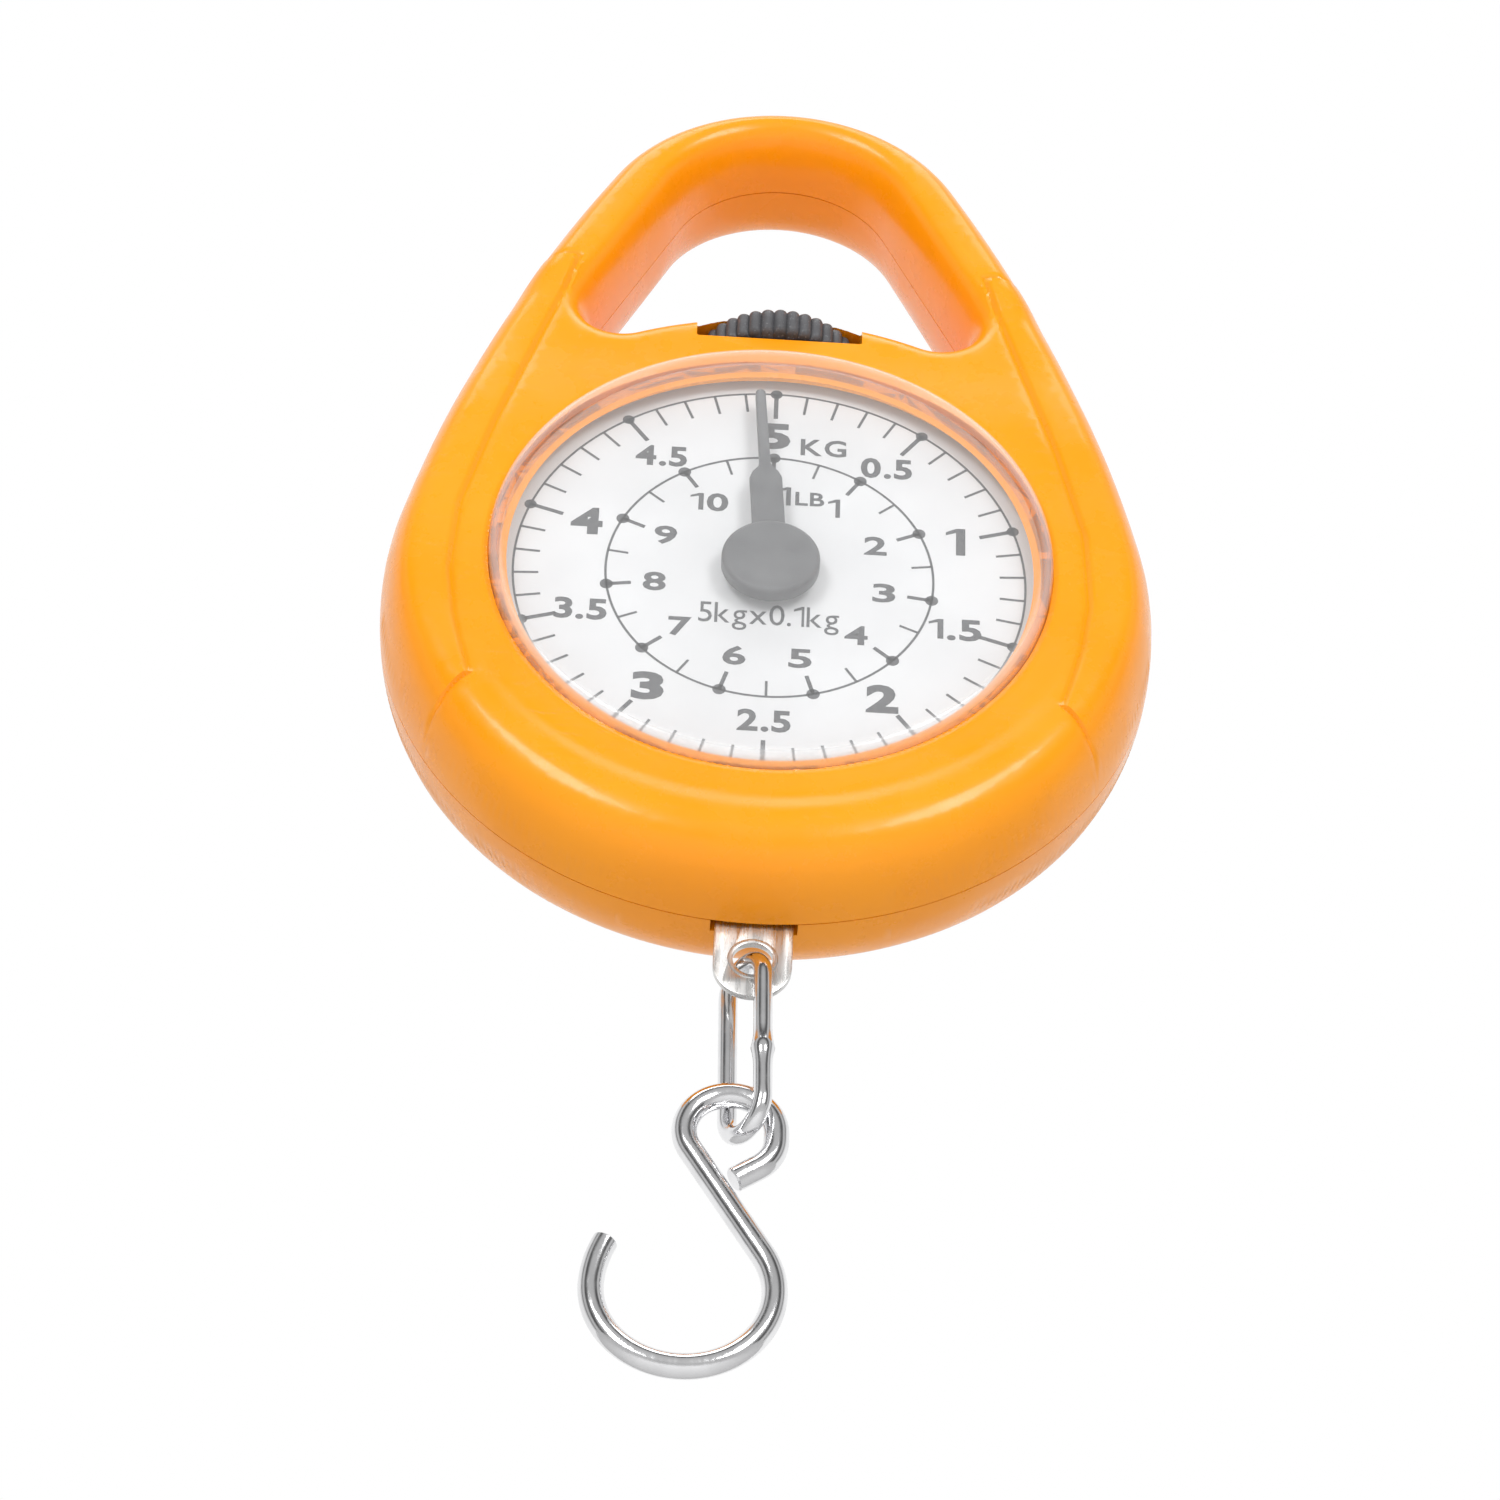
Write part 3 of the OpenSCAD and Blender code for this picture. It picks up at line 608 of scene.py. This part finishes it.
REAR_ROUND = 5.0
REAR_ROUND_GAP = 4.2
REAR_POWER = 2.26


def rear_height(x, z):
    """Depth of the rear shell's outer surface behind the parting plane."""
    depth = REAR_DEPTH * handle_taper(z) * rounded(edge_distance(x, z), REAR_ROUND, REAR_POWER)
    return depth * rounded(gap_distance(x, z), REAR_ROUND_GAP, REAR_POWER)


def seam_lines():
    """Close points along the inner edge and both ends of each side pad, so that they are crisp."""
    points = []
    top_xs = [24.5 + 0.4 * i for i in range(22)]
    low_xs = [34.6 + 0.4 * i for i in range(22)]
    edge_zs = [-21 + 0.7 * i for i in range(103)]
    for side in (-1, 1):
        for off in (-0.4, -0.1, 0.1, 0.35):
            points += [(side * x, PAD_TOP - off) for x in top_xs]
            points += [(side * x, low_end(x) + off) for x in low_xs]
        for off in (-0.45, -0.2, 0.0, 0.2, 0.5, 0.9):
            points += [(side * (through(PAD_EDGE, z) + off), z) for z in edge_zs]
    return points


# Points of a shell, in millimetres: the band of finer rings along its edges and how many rings it has,
# the steps along its outline and along the handle gap, and what still counts as on the edge
EDGE_BAND = 4.6
EDGE_RINGS = 9
OUTLINE_STEP = 1.1
GAP_STEP = 1.0
ON_EDGE = 0.005


def shell(name, side, height, extra, fill):
    """Hollow half of the case: a fine height field over the outline, closed by its inner wall."""
    insets = [EDGE_BAND * (1 - math.cos(math.pi / 2 * k / EDGE_RINGS)) for k in range(1, EDGE_RINGS)]
    border, hole = outline(0, OUTLINE_STEP), gap_outline(0, GAP_STEP)
    points, kept = border + hole, []
    for inset in sorted(insets + [WALL, WALL + 0.3]):
        kept += [p for p in outline(inset, OUTLINE_STEP)
                 if edge_distance(*p) < gap_distance(*p) - 0.25]
        kept += [p for p in gap_outline(inset, GAP_STEP)
                 if gap_distance(*p) < edge_distance(*p) - 0.25]
    kept += extra
    cell = 1.0
    near = {(round(x / cell), round(z / cell)) for x, z in kept}
    limit = insets[-1] + 0.3
    for row in range(int(-60 / fill), int(100 / fill)):
        for column in range(int(-60 / fill), int(60 / fill)):
            x, z = (column + row % 2 / 2) * fill, row * fill * 0.87
            if edge_distance(x, z) < 0.4 or gap_distance(x, z) < 0.4:
                continue
            crowded = (round(x / cell), round(z / cell)) in near
            if not crowded and (edge_distance(x, z) > limit or gap_distance(x, z) > 0.8):
                kept.append((x, z))
    n_border, n_hole = len(border), len(hole)
    ring = [(i, (i + 1) % n_border) for i in range(n_border)]
    ring += [(n_border + i, n_border + (i + 1) % n_hole) for i in range(n_hole)]
    flat, _, triangles, _, _, _ = delaunay_2d_cdt([Vector(p) for p in points + kept], ring, [], 0, 1e-4)
    inside = [t for t in triangles
              if edge_distance(*middle(flat, t)) > 0 and gap_distance(*middle(flat, t)) > 0]
    verts, skin, lining = [], {}, {}
    for i, (x, z) in enumerate(flat):
        out = min(edge_distance(x, z), gap_distance(x, z))
        h = height(x, z) if out > ON_EDGE else 0.0
        h_in = height(x, z) - WALL if out > WALL + 0.05 else 0.0
        skin[i] = lining[i] = len(verts)
        verts.append((x, side * (SEAM_GAP + h), DIAL_Z + z))
        if out > ON_EDGE:
            lining[i] = len(verts)
            depth = max(h_in * min((out - WALL) / 1.2, 1), 0)
            verts.append((x, side * (SEAM_GAP + depth), DIAL_Z + z))
    faces = [tuple(skin[i] for i in t) for t in inside]
    faces += [tuple(lining[i] for i in reversed(t)) for t in inside]
    return tidied(mesh_of(name, verts, faces))


def middle(points, triangle):
    return (sum(points[i][0] for i in triangle) / 3, sum(points[i][1] for i in triangle) / 3)


def circles(radii, step):
    """Rings of points about the dial, where the shell needs fine detail."""
    return [p for r in radii for p in arc(0, 0, r, 0, TAU, step)[:-1]]


def window_cutters():
    """Opening in front of the dial, and the seat of the lens."""
    return [rod(0, 0, SEAT_R, front_low.y - 4, SEAT_Y, 180), rod(0, 0, WINDOW_R, SEAT_Y - 1, 3, 180)]


def slot_cutter(y1, y2):
    return block((-SLOT_HALF, y1, DIAL_Z + SLOT_LOW), (SLOT_HALF, y2, DIAL_Z + SLOT_HIGH), 0.3)


def front_shell():
    fine = circles([SEAT_R + off for off in (-0.5, 0.01, 0.25, 0.5, 0.8, 1.2)], 0.9)
    mesh = shell("front_shell_skin", -1, front_height, fine + seam_lines(), 1.1)
    mesh = cut(mesh, window_cutters() + [slot_cutter(-16, 3)])
    add_piece("front_shell_skin", mesh, [ORANGE], "case", ["front_shell"], 38)


# Screws in the rear shell: x and z from the centre of the dial
CASE_SCREWS = [(-30, -30), (30, -30), (-31, 34), (31, 34)]
CASE_SCREW_SEAT = 6.6
HEAD_ROOM = 2.9


def rear_shell():
    mesh = shell("rear_shell_skin", 1, rear_height, [], 1.6)
    cutters = [slot_cutter(-3, 16)]
    cutters += [rod(x, z, HEAD_ROOM, CASE_SCREW_SEAT, 14) for x, z in CASE_SCREWS]
    notch = STRIP_W / 2 + 0.5
    cutters.append(block((-notch, -1, DIAL_Z - 54), (notch, 2, DIAL_Z - 44)))
    mesh = cut(mesh, cutters)
    add_piece("rear_shell_skin", mesh, [ORANGE], "case", ["rear_shell"], 38)


# ---------------------------------------------------------------- lens

LENS_PLAY = 0.12
LENS_CROWN = 0.12


def lens():
    """Shallow clear cover with a rounded rim and a slightly crowned face."""
    r, front, back = SEAT_R - LENS_PLAY, lens_front, SEAT_Y
    thick, edge = 1.3, 1.2
    crown = [(r - edge - (r - edge) * i / 10, front + LENS_CROWN * (1 - i / 10) ** 2)
             for i in range(1, 11)]
    outside = [(r, back)] + fillet((r - edge, front + edge + LENS_CROWN), edge, 0, -90, 8) + crown
    inside = [(0, front + thick), (r - thick - 0.6, front + thick), (r - thick, front + thick + 0.6),
              (r - thick, back)]
    mesh = lathe("lens_cover", outside + inside, 192)
    add_piece("lens_cover", mesh, [LENS], "case", ["lens"])


# ---------------------------------------------------------------- dial print

INK_T = 0.03


def clockwise(r, turns):
    """Point at a radius and a share of a turn clockwise from the top."""
    return r * math.sin(TAU * turns), r * math.cos(TAU * turns)


def tick(turns, r1, r2, width):
    along = Vector(clockwise(1, turns))
    across = Vector((along.y, -along.x)) * width / 2
    corners = [along * r1 + across, along * r2 + across, along * r2 - across, along * r1 - across]
    return prism([(p.x, p.y + DIAL_Z) for p in corners], DIAL_Y - INK_T, DIAL_Y)


def dot(turns, r, size):
    x, z = clockwise(r, turns)
    return rod(x, z, size, DIAL_Y - INK_T, DIAL_Y, 24)


def ring(r, width):
    return lathe("ring", [(r - width / 2, DIAL_Y - INK_T), (r + width / 2, DIAL_Y - INK_T),
                          (r + width / 2, DIAL_Y), (r - width / 2, DIAL_Y)], 180)


LETTER_GAP = 0.07


def glyph(char, weight):
    """One printed character, flat in XY with its foot on the X axis."""
    if char == "1":
        right, cap = 0.3, 0.69
        left = right - (0.075 + 1.5 * weight)
        one = [(0.0, 0.51), (0.0, 0.585), (left + 0.01, cap), (right, cap), (right, 0.0), (left, 0.0),
               (left, 0.58)]
        n = len(one)
        verts = [(x, y, z) for z in (-0.01, 0.01) for x, y in one]
        faces = [(i, (i + 1) % n, n + (i + 1) % n, n + i) for i in range(n)]
        return mesh_of("glyph", verts, faces + [tuple(range(n))[::-1], tuple(range(n, 2 * n))])
    text = bpy.data.curves.new("glyph", "FONT")
    text.body, text.offset, text.resolution_u, text.extrude = char, weight, 3, 0.01
    holder = bpy.data.objects.new("glyph", text)
    bpy.context.scene.collection.objects.link(holder)
    bpy.context.view_layer.update()
    mesh = bpy.data.meshes.new_from_object(holder.evaluated_get(bpy.context.evaluated_depsgraph_get()))
    bpy.data.objects.remove(holder)
    return mesh


def label(words, x, z, width, height, weight):
    """Printed characters centred on a point of the dial, made exactly that wide and high."""
    letters, pen = [], 0.0
    for char in words:
        mesh = glyph(char, weight)
        xs = [v.co.x for v in mesh.vertices]
        mesh.transform(Matrix.Translation((pen - min(xs), 0, 0)))
        pen += max(xs) - min(xs) + LETTER_GAP
        letters.append(mesh)
    mesh = joined("label", letters)
    xs = [v.co.x for v in mesh.vertices]
    ys = [v.co.y for v in mesh.vertices]
    wide, high = max(xs) - min(xs), max(ys) - min(ys)
    for v in mesh.vertices:
        across = (v.co.x - min(xs)) / wide - 0.5
        up = (v.co.y - min(ys)) / high - 0.5
        v.co = (x + across * width, DIAL_Y - (INK_T if v.co.z > 0 else 0), DIAL_Z + z + up * height)
    return tidied(mesh, 0.0001)


# Ticks as (length, width), first the numbered ones, and the radii that the numbers stand on
KG_TICKS = ((4.3, 0.55), (3.1, 0.34))
LB_TICKS = ((3.0, 0.5), (2.5, 0.32))
KG_LABEL_R = 23.8
LB_LABEL_R = 14.1


def dial_print():
    """Both scales, their numbers and units, and the range line."""
    marks = [ring(KG_RING_R, 0.28), ring(LB_RING_R, 0.3)]
    for i in range(50):
        major = i % 5 == 0
        length, width = KG_TICKS[0 if major else 1]
        marks.append(tick(i / 50, KG_RING_R - length, KG_RING_R, width))
        if major:
            marks.append(dot(i / 50, KG_RING_R, 0.75))
    for i in range(22):
        turns = i / 2 / LB_PER_TURN
        length, width = LB_TICKS[i % 2]
        marks.append(tick(turns, LB_RING_R - length, LB_RING_R, width))
        if i % 2 == 0:
            marks.append(dot(turns, LB_RING_R, 0.8))
    for i in range(1, 11):
        x, z = clockwise(KG_LABEL_R, i / 10)
        if i % 2 == 0:
            marks.append(label(str(i // 2), x, z, 2.4 if i == 2 else 3.9, 4.5, 0.045))
        else:
            marks.append(label(f"{i / 2:.1f}", x, z, 6.4, 3.5, 0.03))
    marks.append(label("KG", 6.1, 22.2, 5.7, 2.9, 0.02))
    for i in range(1, 11):
        x, z = clockwise(LB_LABEL_R, i / LB_PER_TURN)
        marks.append(label(str(i), x, z, {1: 1.5, 10: 4.7}.get(i, 2.8), 3.1, 0.025))
    marks.append(label("11", 0.5, 13.5, 3.5, 3.1, 0.025))
    marks.append(label("LB", 4.6, 13.2, 3.6, 2.3, 0.02))
    marks.append(label("5kgx0.1kg", 0.1, -7.2, 17.0, 4.4, 0.0))
    add_piece("dial_print", joined("dial_print", marks), [INK], "case")


# ---------------------------------------------------------------- pointer

HUB_R = 6.0
HUB_FRONT = DIAL_Y - 3.6
HUB_T = 2.1
POINTER_REST = math.radians(4.2)


def pointer():
    """Moulded pointer: a round hub with a dished face, a short wide arm and a fine tip."""
    back = HUB_FRONT + HUB_T
    dish = [(0, HUB_FRONT + 0.25), (3.4, HUB_FRONT + 0.2), (4.0, HUB_FRONT + 0.02)]
    rim = fillet((HUB_R - 0.6, HUB_FRONT + 0.6), 0.6, -90, 0)
    hub = lathe("hub", dish + rim + [(HUB_R, back - 0.2), (HUB_R - 0.2, back), (0, back)], 96)
    half = [(2.0, 0), (2.0, 13.7), (1.6, 14.7), (0.9, 15.5), (0.7, 16.2), (0.62, 28.6), (0.3, 29.0)]
    arm = [(-2.0, 0)] + half + [(-x, z) for x, z in half[:0:-1]]
    bar = bevelled(prism([(x, z + DIAL_Z) for x, z in arm], HUB_FRONT + 0.45, HUB_FRONT + 1.65), 0.16)
    mesh = joined("pointer_moulding", [hub, bar])
    mesh.transform(Matrix.Translation((0, 0, -DIAL_Z)))
    mesh.transform(Matrix.Rotation(-POINTER_REST, 4, "Y"))
    mesh.transform(Matrix.Translation((0, 0, DIAL_Z)))
    add_piece("pointer_moulding", mesh, [POINTER], "movement", ["pointer"])


def bevelled(mesh, width, segments=2):
    """Rounds every edge between faces that meet at more than 30 degrees."""
    work = bmesh.new()
    work.from_mesh(mesh)
    edges = [e for e in work.edges if len(e.link_faces) == 2 and e.calc_face_angle(0) > math.radians(30)]
    bmesh.ops.bevel(work, geom=edges, offset=width, segments=segments, affect="EDGES", profile=0.5)
    work.to_mesh(mesh)
    work.free()
    return mesh


# ---------------------------------------------------------------- zero wheel

SERRATIONS = 40
SERRATION_DEPTH = 0.55
SERRATION_POINTS = 10
WHEEL_BORE_R = 3.62


def zero_wheel():
    """Knurled wheel with rounded serrations and chamfered rims, around its brass insert."""
    centre_y = (wheel_low.y + wheel_high.y) / 2
    top_r = (wheel_high.x - wheel_low.x) / 2
    tall = wheel_high.z - wheel_low.z
    sides = SERRATIONS * SERRATION_POINTS
    levels = [(0.0, 0.55), (0.3, 0.12), (0.6, 0.0), (tall - 0.6, 0.0), (tall - 0.3, 0.12), (tall, 0.55)]
    verts, faces = [], []
    for rise, pull in levels:
        for i in range(sides):
            turn = TAU * i / sides
            lobe = abs(math.cos(SERRATIONS * turn / 2)) ** 0.7
            r = top_r - pull - SERRATION_DEPTH * (1 - lobe)
            verts.append((r * math.cos(turn), centre_y + r * math.sin(turn), wheel_low.z + rise))
    for rise in (tall, 0.0):
        verts += [(*polar((0, centre_y), WHEEL_BORE_R, TAU * i / sides), wheel_low.z + rise)
                  for i in range(sides)]
    rows = len(levels) + 2
    for j in range(rows):
        for i in range(sides):
            a, b = j * sides + i, j * sides + (i + 1) % sides
            c, d = (j + 1) % rows * sides + (i + 1) % sides, (j + 1) % rows * sides + i
            faces.append((a, b, c, d))
    mesh = tidied(mesh_of("zero_wheel_knurled", verts, faces))
    add_piece("zero_wheel_knurled", mesh, [WHEEL], "wheel", ["zero_wheel"], 50)


# ---------------------------------------------------------------- strip, link and hook

STRIP_END = 59.5
STRIP_HOLE = 54.0
STRIP_HOLE_R = 2.35


def load_plate():
    """Pressed steel plate: wide part with its window and ears inside, and the strip with its hole."""
    y1, y2 = plate_low.y, plate_high.y
    half, tip = STRIP_W / 2, STRIP_END - STRIP_W / 2
    top = plate_high.z - DIAL_Z
    right = [(9, top), (9, -15), (18, -15), (18, -21), (9, -21), (9, -22), (half + 1, -22), (half, -23)]
    round_end = arc(0, -tip, half, 0, -math.pi, 0.5)
    shape = right + round_end + [(-x, z) for x, z in reversed(right)]
    plate = prism([(x, z + DIAL_Z) for x, z in shape[::-1]], y1, y2)
    cutters = [block((-5.4, y1 - 1, DIAL_Z - 4.4), (5.4, y2 + 1, DIAL_Z + top - 3), 0.5),
               rod(0, -STRIP_HOLE, STRIP_HOLE_R, y1 - 1, y2 + 1, 64)]
    cutters += [rod(side * 15, -18, 1.1, y1 - 1, y2 + 1, 32) for side in (-1, 1)]
    pressed = [(STRIP_HOLE_R + out, y1 - proud)
               for out, proud in ((0, -0.05), (0, 0.06), (0.1, 0.12), (0.5, 0.1), (0.65, -0.05))]
    collar = lathe("collar", pressed, 64, DIAL_Z - STRIP_HOLE)
    mesh = joined("load_plate_pressed", [bevelled(cut(plate, cutters), 0.13), collar])
    add_piece("load_plate_pressed", mesh, [STRIP], "load_carrier", ["load_plate"])


LINK_WIRE_R = 1.1
LINK_HALF = 3.3
LINK_LEN = 24.1
LINK_STRAIGHT = LINK_LEN - 2 * LINK_HALF
LINK_TURN = math.radians(35)
LINK_LEAN = math.radians(1.5)
LINK_PLACE = Vector((-0.75, plate_low.y + 0.45 + 0.6, DIAL_Z - 54.15))


def link_path():
    """Closed oval in the link's own plane, top at the origin, going round from the right side's foot."""
    steps, side_steps = 20, 24
    rises = [LINK_STRAIGHT * i / side_steps for i in range(side_steps)]
    path = [Vector((LINK_HALF, -LINK_HALF - LINK_STRAIGHT + rise, 0)) for rise in rises]
    path += [Vector((LINK_HALF * math.cos(a), -LINK_HALF + LINK_HALF * math.sin(a), 0))
             for a in (math.pi * i / steps for i in range(steps))]
    path += [Vector((-LINK_HALF, -LINK_HALF - rise, 0)) for rise in rises]
    path += [Vector((LINK_HALF * math.cos(a), -LINK_HALF - LINK_STRAIGHT + LINK_HALF * math.sin(a), 0))
             for a in (math.pi + math.pi * i / steps for i in range(steps))]
    return path


def chain_link():
    """Welded link: a butt weld stands a little proud on the middle of one side."""
    path = link_path()
    weld_y = -LINK_HALF - LINK_STRAIGHT * 0.62
    radii = [LINK_WIRE_R + (0.22 * bump(p.y - weld_y, 1.3) + 0.1 * bump(p.y - weld_y, 0.35)
                            if p.x > LINK_HALF - 0.05 else 0) for p in path]
    mesh = sweep("chain_link_welded", path, radii, (0, 0, 1), 28, True)
    for face in mesh.polygons:
        face.material_index = 1 if face.center.x > 1 and abs(face.center.y - weld_y) < 1.1 else 0
    turn = (Matrix.Rotation(-LINK_LEAN, 4, "Y") @ Matrix.Rotation(LINK_TURN - math.pi / 2, 4, "Z")
            @ Matrix.Rotation(math.pi / 2, 4, "X"))
    mesh.transform(Matrix.Translation(LINK_PLACE) @ turn)
    add_piece("chain_link_welded", mesh, [CHROME, WELD], "link", ["chain_link"])


HOOK_WIRE_R = 1.45
EYE = (-1.7, -78.4)
EYE_R = 5.2
EYE_SIDE = 1.0
EYE_CORNER_R = 4.6
EYE_CORNER = math.radians(55)
EYE_TAIL = 3.3
BOWL = (-6.2, -100.3)
BOWL_R = 10.1
BOWL_TURN = math.radians(215)
TIP_R = 16.0
TIP_TURN = math.radians(20.4)


def hook_path():
    """Middle line of the hook: tail, corner and ring of the eye, shank, bowl and tip."""
    apart = math.hypot(BOWL[0] - EYE[0], BOWL[1] - EYE[1])
    shank = math.atan2(BOWL[1] - EYE[1], BOWL[0] - EYE[0]) + math.asin((EYE_R + BOWL_R) / apart)
    corner = (EYE[0] + EYE_R - EYE_CORNER_R, EYE[1] - EYE_SIDE)
    bowl_end = shank + math.pi / 2 - BOWL_TURN
    tip = polar(BOWL, BOWL_R - TIP_R, bowl_end)
    bend = polar(corner, EYE_CORNER_R, -EYE_CORNER)
    away = -math.pi / 2 - EYE_CORNER
    points = [polar(bend, EYE_TAIL * (1 - i / 4), away) for i in range(4)]
    points += arc(corner[0], corner[1], EYE_CORNER_R, -EYE_CORNER, 0, 0.5)
    points += arc(EYE[0], EYE[1], EYE_R, 0, shank + 1.5 * math.pi, 0.5)
    points += arc(BOWL[0], BOWL[1], BOWL_R, shank + math.pi / 2, bowl_end, 0.6)
    points += arc(tip[0], tip[1], TIP_R, bowl_end, bowl_end - TIP_TURN, 0.6)[1:]
    return [Vector((x, LINK_PLACE.y, z + DIAL_Z)) for x, z in points]


def s_hook():
    """Bent wire hook; both cut ends have a small chamfer."""
    path = hook_path()
    first, last = (path[1] - path[0]).normalized(), (path[-2] - path[-1]).normalized()
    path = [path[0], path[0] + first * 0.2] + path[1:-1] + [path[-1] + last * 0.2, path[-1]]
    radii = [HOOK_WIRE_R] * len(path)
    radii[0] = radii[-1] = HOOK_WIRE_R - 0.2
    mesh = sweep("s_hook_wire", path, radii, (0, 1, 0), 32)
    for face in mesh.polygons:
        face.material_index = 1 if len(face.vertices) > 4 else 0
    add_piece("s_hook_wire", mesh, [CHROME, CUT_STEEL], "hook", ["s_hook"])


# ---------------------------------------------------------------- carried-over CAD nodes

FINISH = {"case_screws": SCREW, "dial_plate": DIAL_WHITE, "pointer_shaft": STEEL, "pinion": BRASS,
          "bridge_plate": SHEET, "bridge_screws": SCREW, "front_bush": BRASS, "rear_bush": BRASS,
          "rack_bar": RACK, "rack_rivets": STEEL, "left_spring": SPRING, "right_spring": SPRING,
          "spring_yoke": SHEET, "adjuster_screw": STEEL, "wheel_insert": BRASS, "thrust_washer": STEEL}


def finish_nodes():
    for node, material in FINISH.items():
        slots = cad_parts[node].data.materials
        if slots:
            slots[0] = material
        else:
            slots.append(material)


# ---------------------------------------------------------------- stage

CAMERA_PLACE = Vector((-11.87, -448.38, -494.97)) * MM
CAMERA_FORWARD = Vector((0.01762, 0.74932, 0.66197))
CAMERA_UP = Vector((-0.05717, -0.66024, 0.74888))


# Light of the surroundings from straight in front of the dial (0) to straight behind it (1):
# a bright studio with dark gaps between its screens, and a white table behind the object
WORLD_BANDS = [(0.0, 0.62), (0.12, 0.5), (0.18, 0.12), (0.25, 0.1), (0.31, 0.6), (0.4, 0.55), (0.46, 0.2),
               (0.52, 0.7), (0.62, 1.0)]


def camera():
    data = bpy.data.cameras.new("camera")
    data.lens, data.sensor_width = 120, 36
    data.clip_start, data.clip_end = 0.01, 20
    made = bpy.data.objects.new("camera", data)
    back = -CAMERA_FORWARD.normalized()
    right = CAMERA_UP.cross(back).normalized()
    up = back.cross(right)
    turn = Matrix((right, up, back)).transposed().to_4x4()
    made.matrix_world = Matrix.Translation(CAMERA_PLACE) @ turn
    bpy.context.scene.collection.objects.link(made)
    bpy.context.scene.camera = made


def softbox(name, place, aim, size, power):
    data = bpy.data.lights.new(name, "AREA")
    data.shape, data.size, data.size_y, data.energy = "RECTANGLE", size[0], size[1], power
    lamp = bpy.data.objects.new(name, data)
    turn = (aim - place).to_track_quat("-Z", "Y").to_matrix().to_4x4()
    lamp.matrix_world = Matrix.Translation(place) @ turn
    bpy.context.scene.collection.objects.link(lamp)


def stage():
    """Pale floor below the hanging object, white surroundings and soft lights."""
    middle_z = (cad_low.z + cad_high.z) / 2
    half, floor_z = 4.0, -0.75
    mesh = mesh_of("floor", [(-half, -half, floor_z), (half, -half, floor_z), (half, half, floor_z),
                             (-half, half, floor_z)], [(0, 1, 2, 3)])
    floor = bpy.data.objects.new("floor", mesh)
    bpy.context.scene.collection.objects.link(floor)
    pale = Shade("floor_paper", 0.8)
    pale.colour(pale.mix(pale.noise(80, 3), (0.84, 0.84, 0.84), (0.8, 0.8, 0.8)))
    mesh.materials.append(pale.material)

    world = bpy.data.worlds.new("studio")
    bpy.context.scene.world = world
    world.use_nodes = True
    tree = world.node_tree
    seen = tree.nodes.new("ShaderNodeBackground")
    lit = tree.nodes["Background"]
    seen.inputs["Color"].default_value = (1, 1, 1, 1)
    seen.inputs["Strength"].default_value = 1.0
    place = tree.nodes.new("ShaderNodeTexCoord")
    axes = tree.nodes.new("ShaderNodeSeparateXYZ")
    share = tree.nodes.new("ShaderNodeMapRange")
    share.inputs["From Min"].default_value = -1.0
    bands = tree.nodes.new("ShaderNodeValToRGB")
    while len(bands.color_ramp.elements) < len(WORLD_BANDS):
        bands.color_ramp.elements.new(0.5)
    for stop, (at, light) in zip(bands.color_ramp.elements, WORLD_BANDS):
        stop.position, stop.color = at, (light, light, light, 1)
    tree.links.new(place.outputs["Generated"], axes.inputs[0])
    tree.links.new(axes.outputs["Y"], share.inputs["Value"])
    tree.links.new(share.outputs["Result"], bands.inputs["Fac"])
    tree.links.new(bands.outputs["Color"], lit.inputs["Color"])
    pick = tree.nodes.new("ShaderNodeMixShader")
    rays = tree.nodes.new("ShaderNodeLightPath")
    tree.links.new(rays.outputs["Is Camera Ray"], pick.inputs[0])
    tree.links.new(lit.outputs[0], pick.inputs[1])
    tree.links.new(seen.outputs[0], pick.inputs[2])
    tree.links.new(pick.outputs[0], tree.nodes["World Output"].inputs["Surface"])

    aim = Vector((0, 0, middle_z))
    softbox("left_softbox", aim + Vector((-0.42, -0.95, 0.12)), aim, (0.3, 0.5), 4.3)
    softbox("right_softbox", aim + Vector((0.42, -0.95, 0.12)), aim, (0.3, 0.5), 4.3)
    softbox("top_softbox", aim + Vector((0, -0.35, 1.0)), aim, (0.8, 0.5), 3)
    bpy.context.scene.view_settings.view_transform = "Standard"


camera()
front_shell()
rear_shell()
lens()
dial_print()
pointer()
zero_wheel()
load_plate()
chain_link()
s_hook()
finish_nodes()
stage()
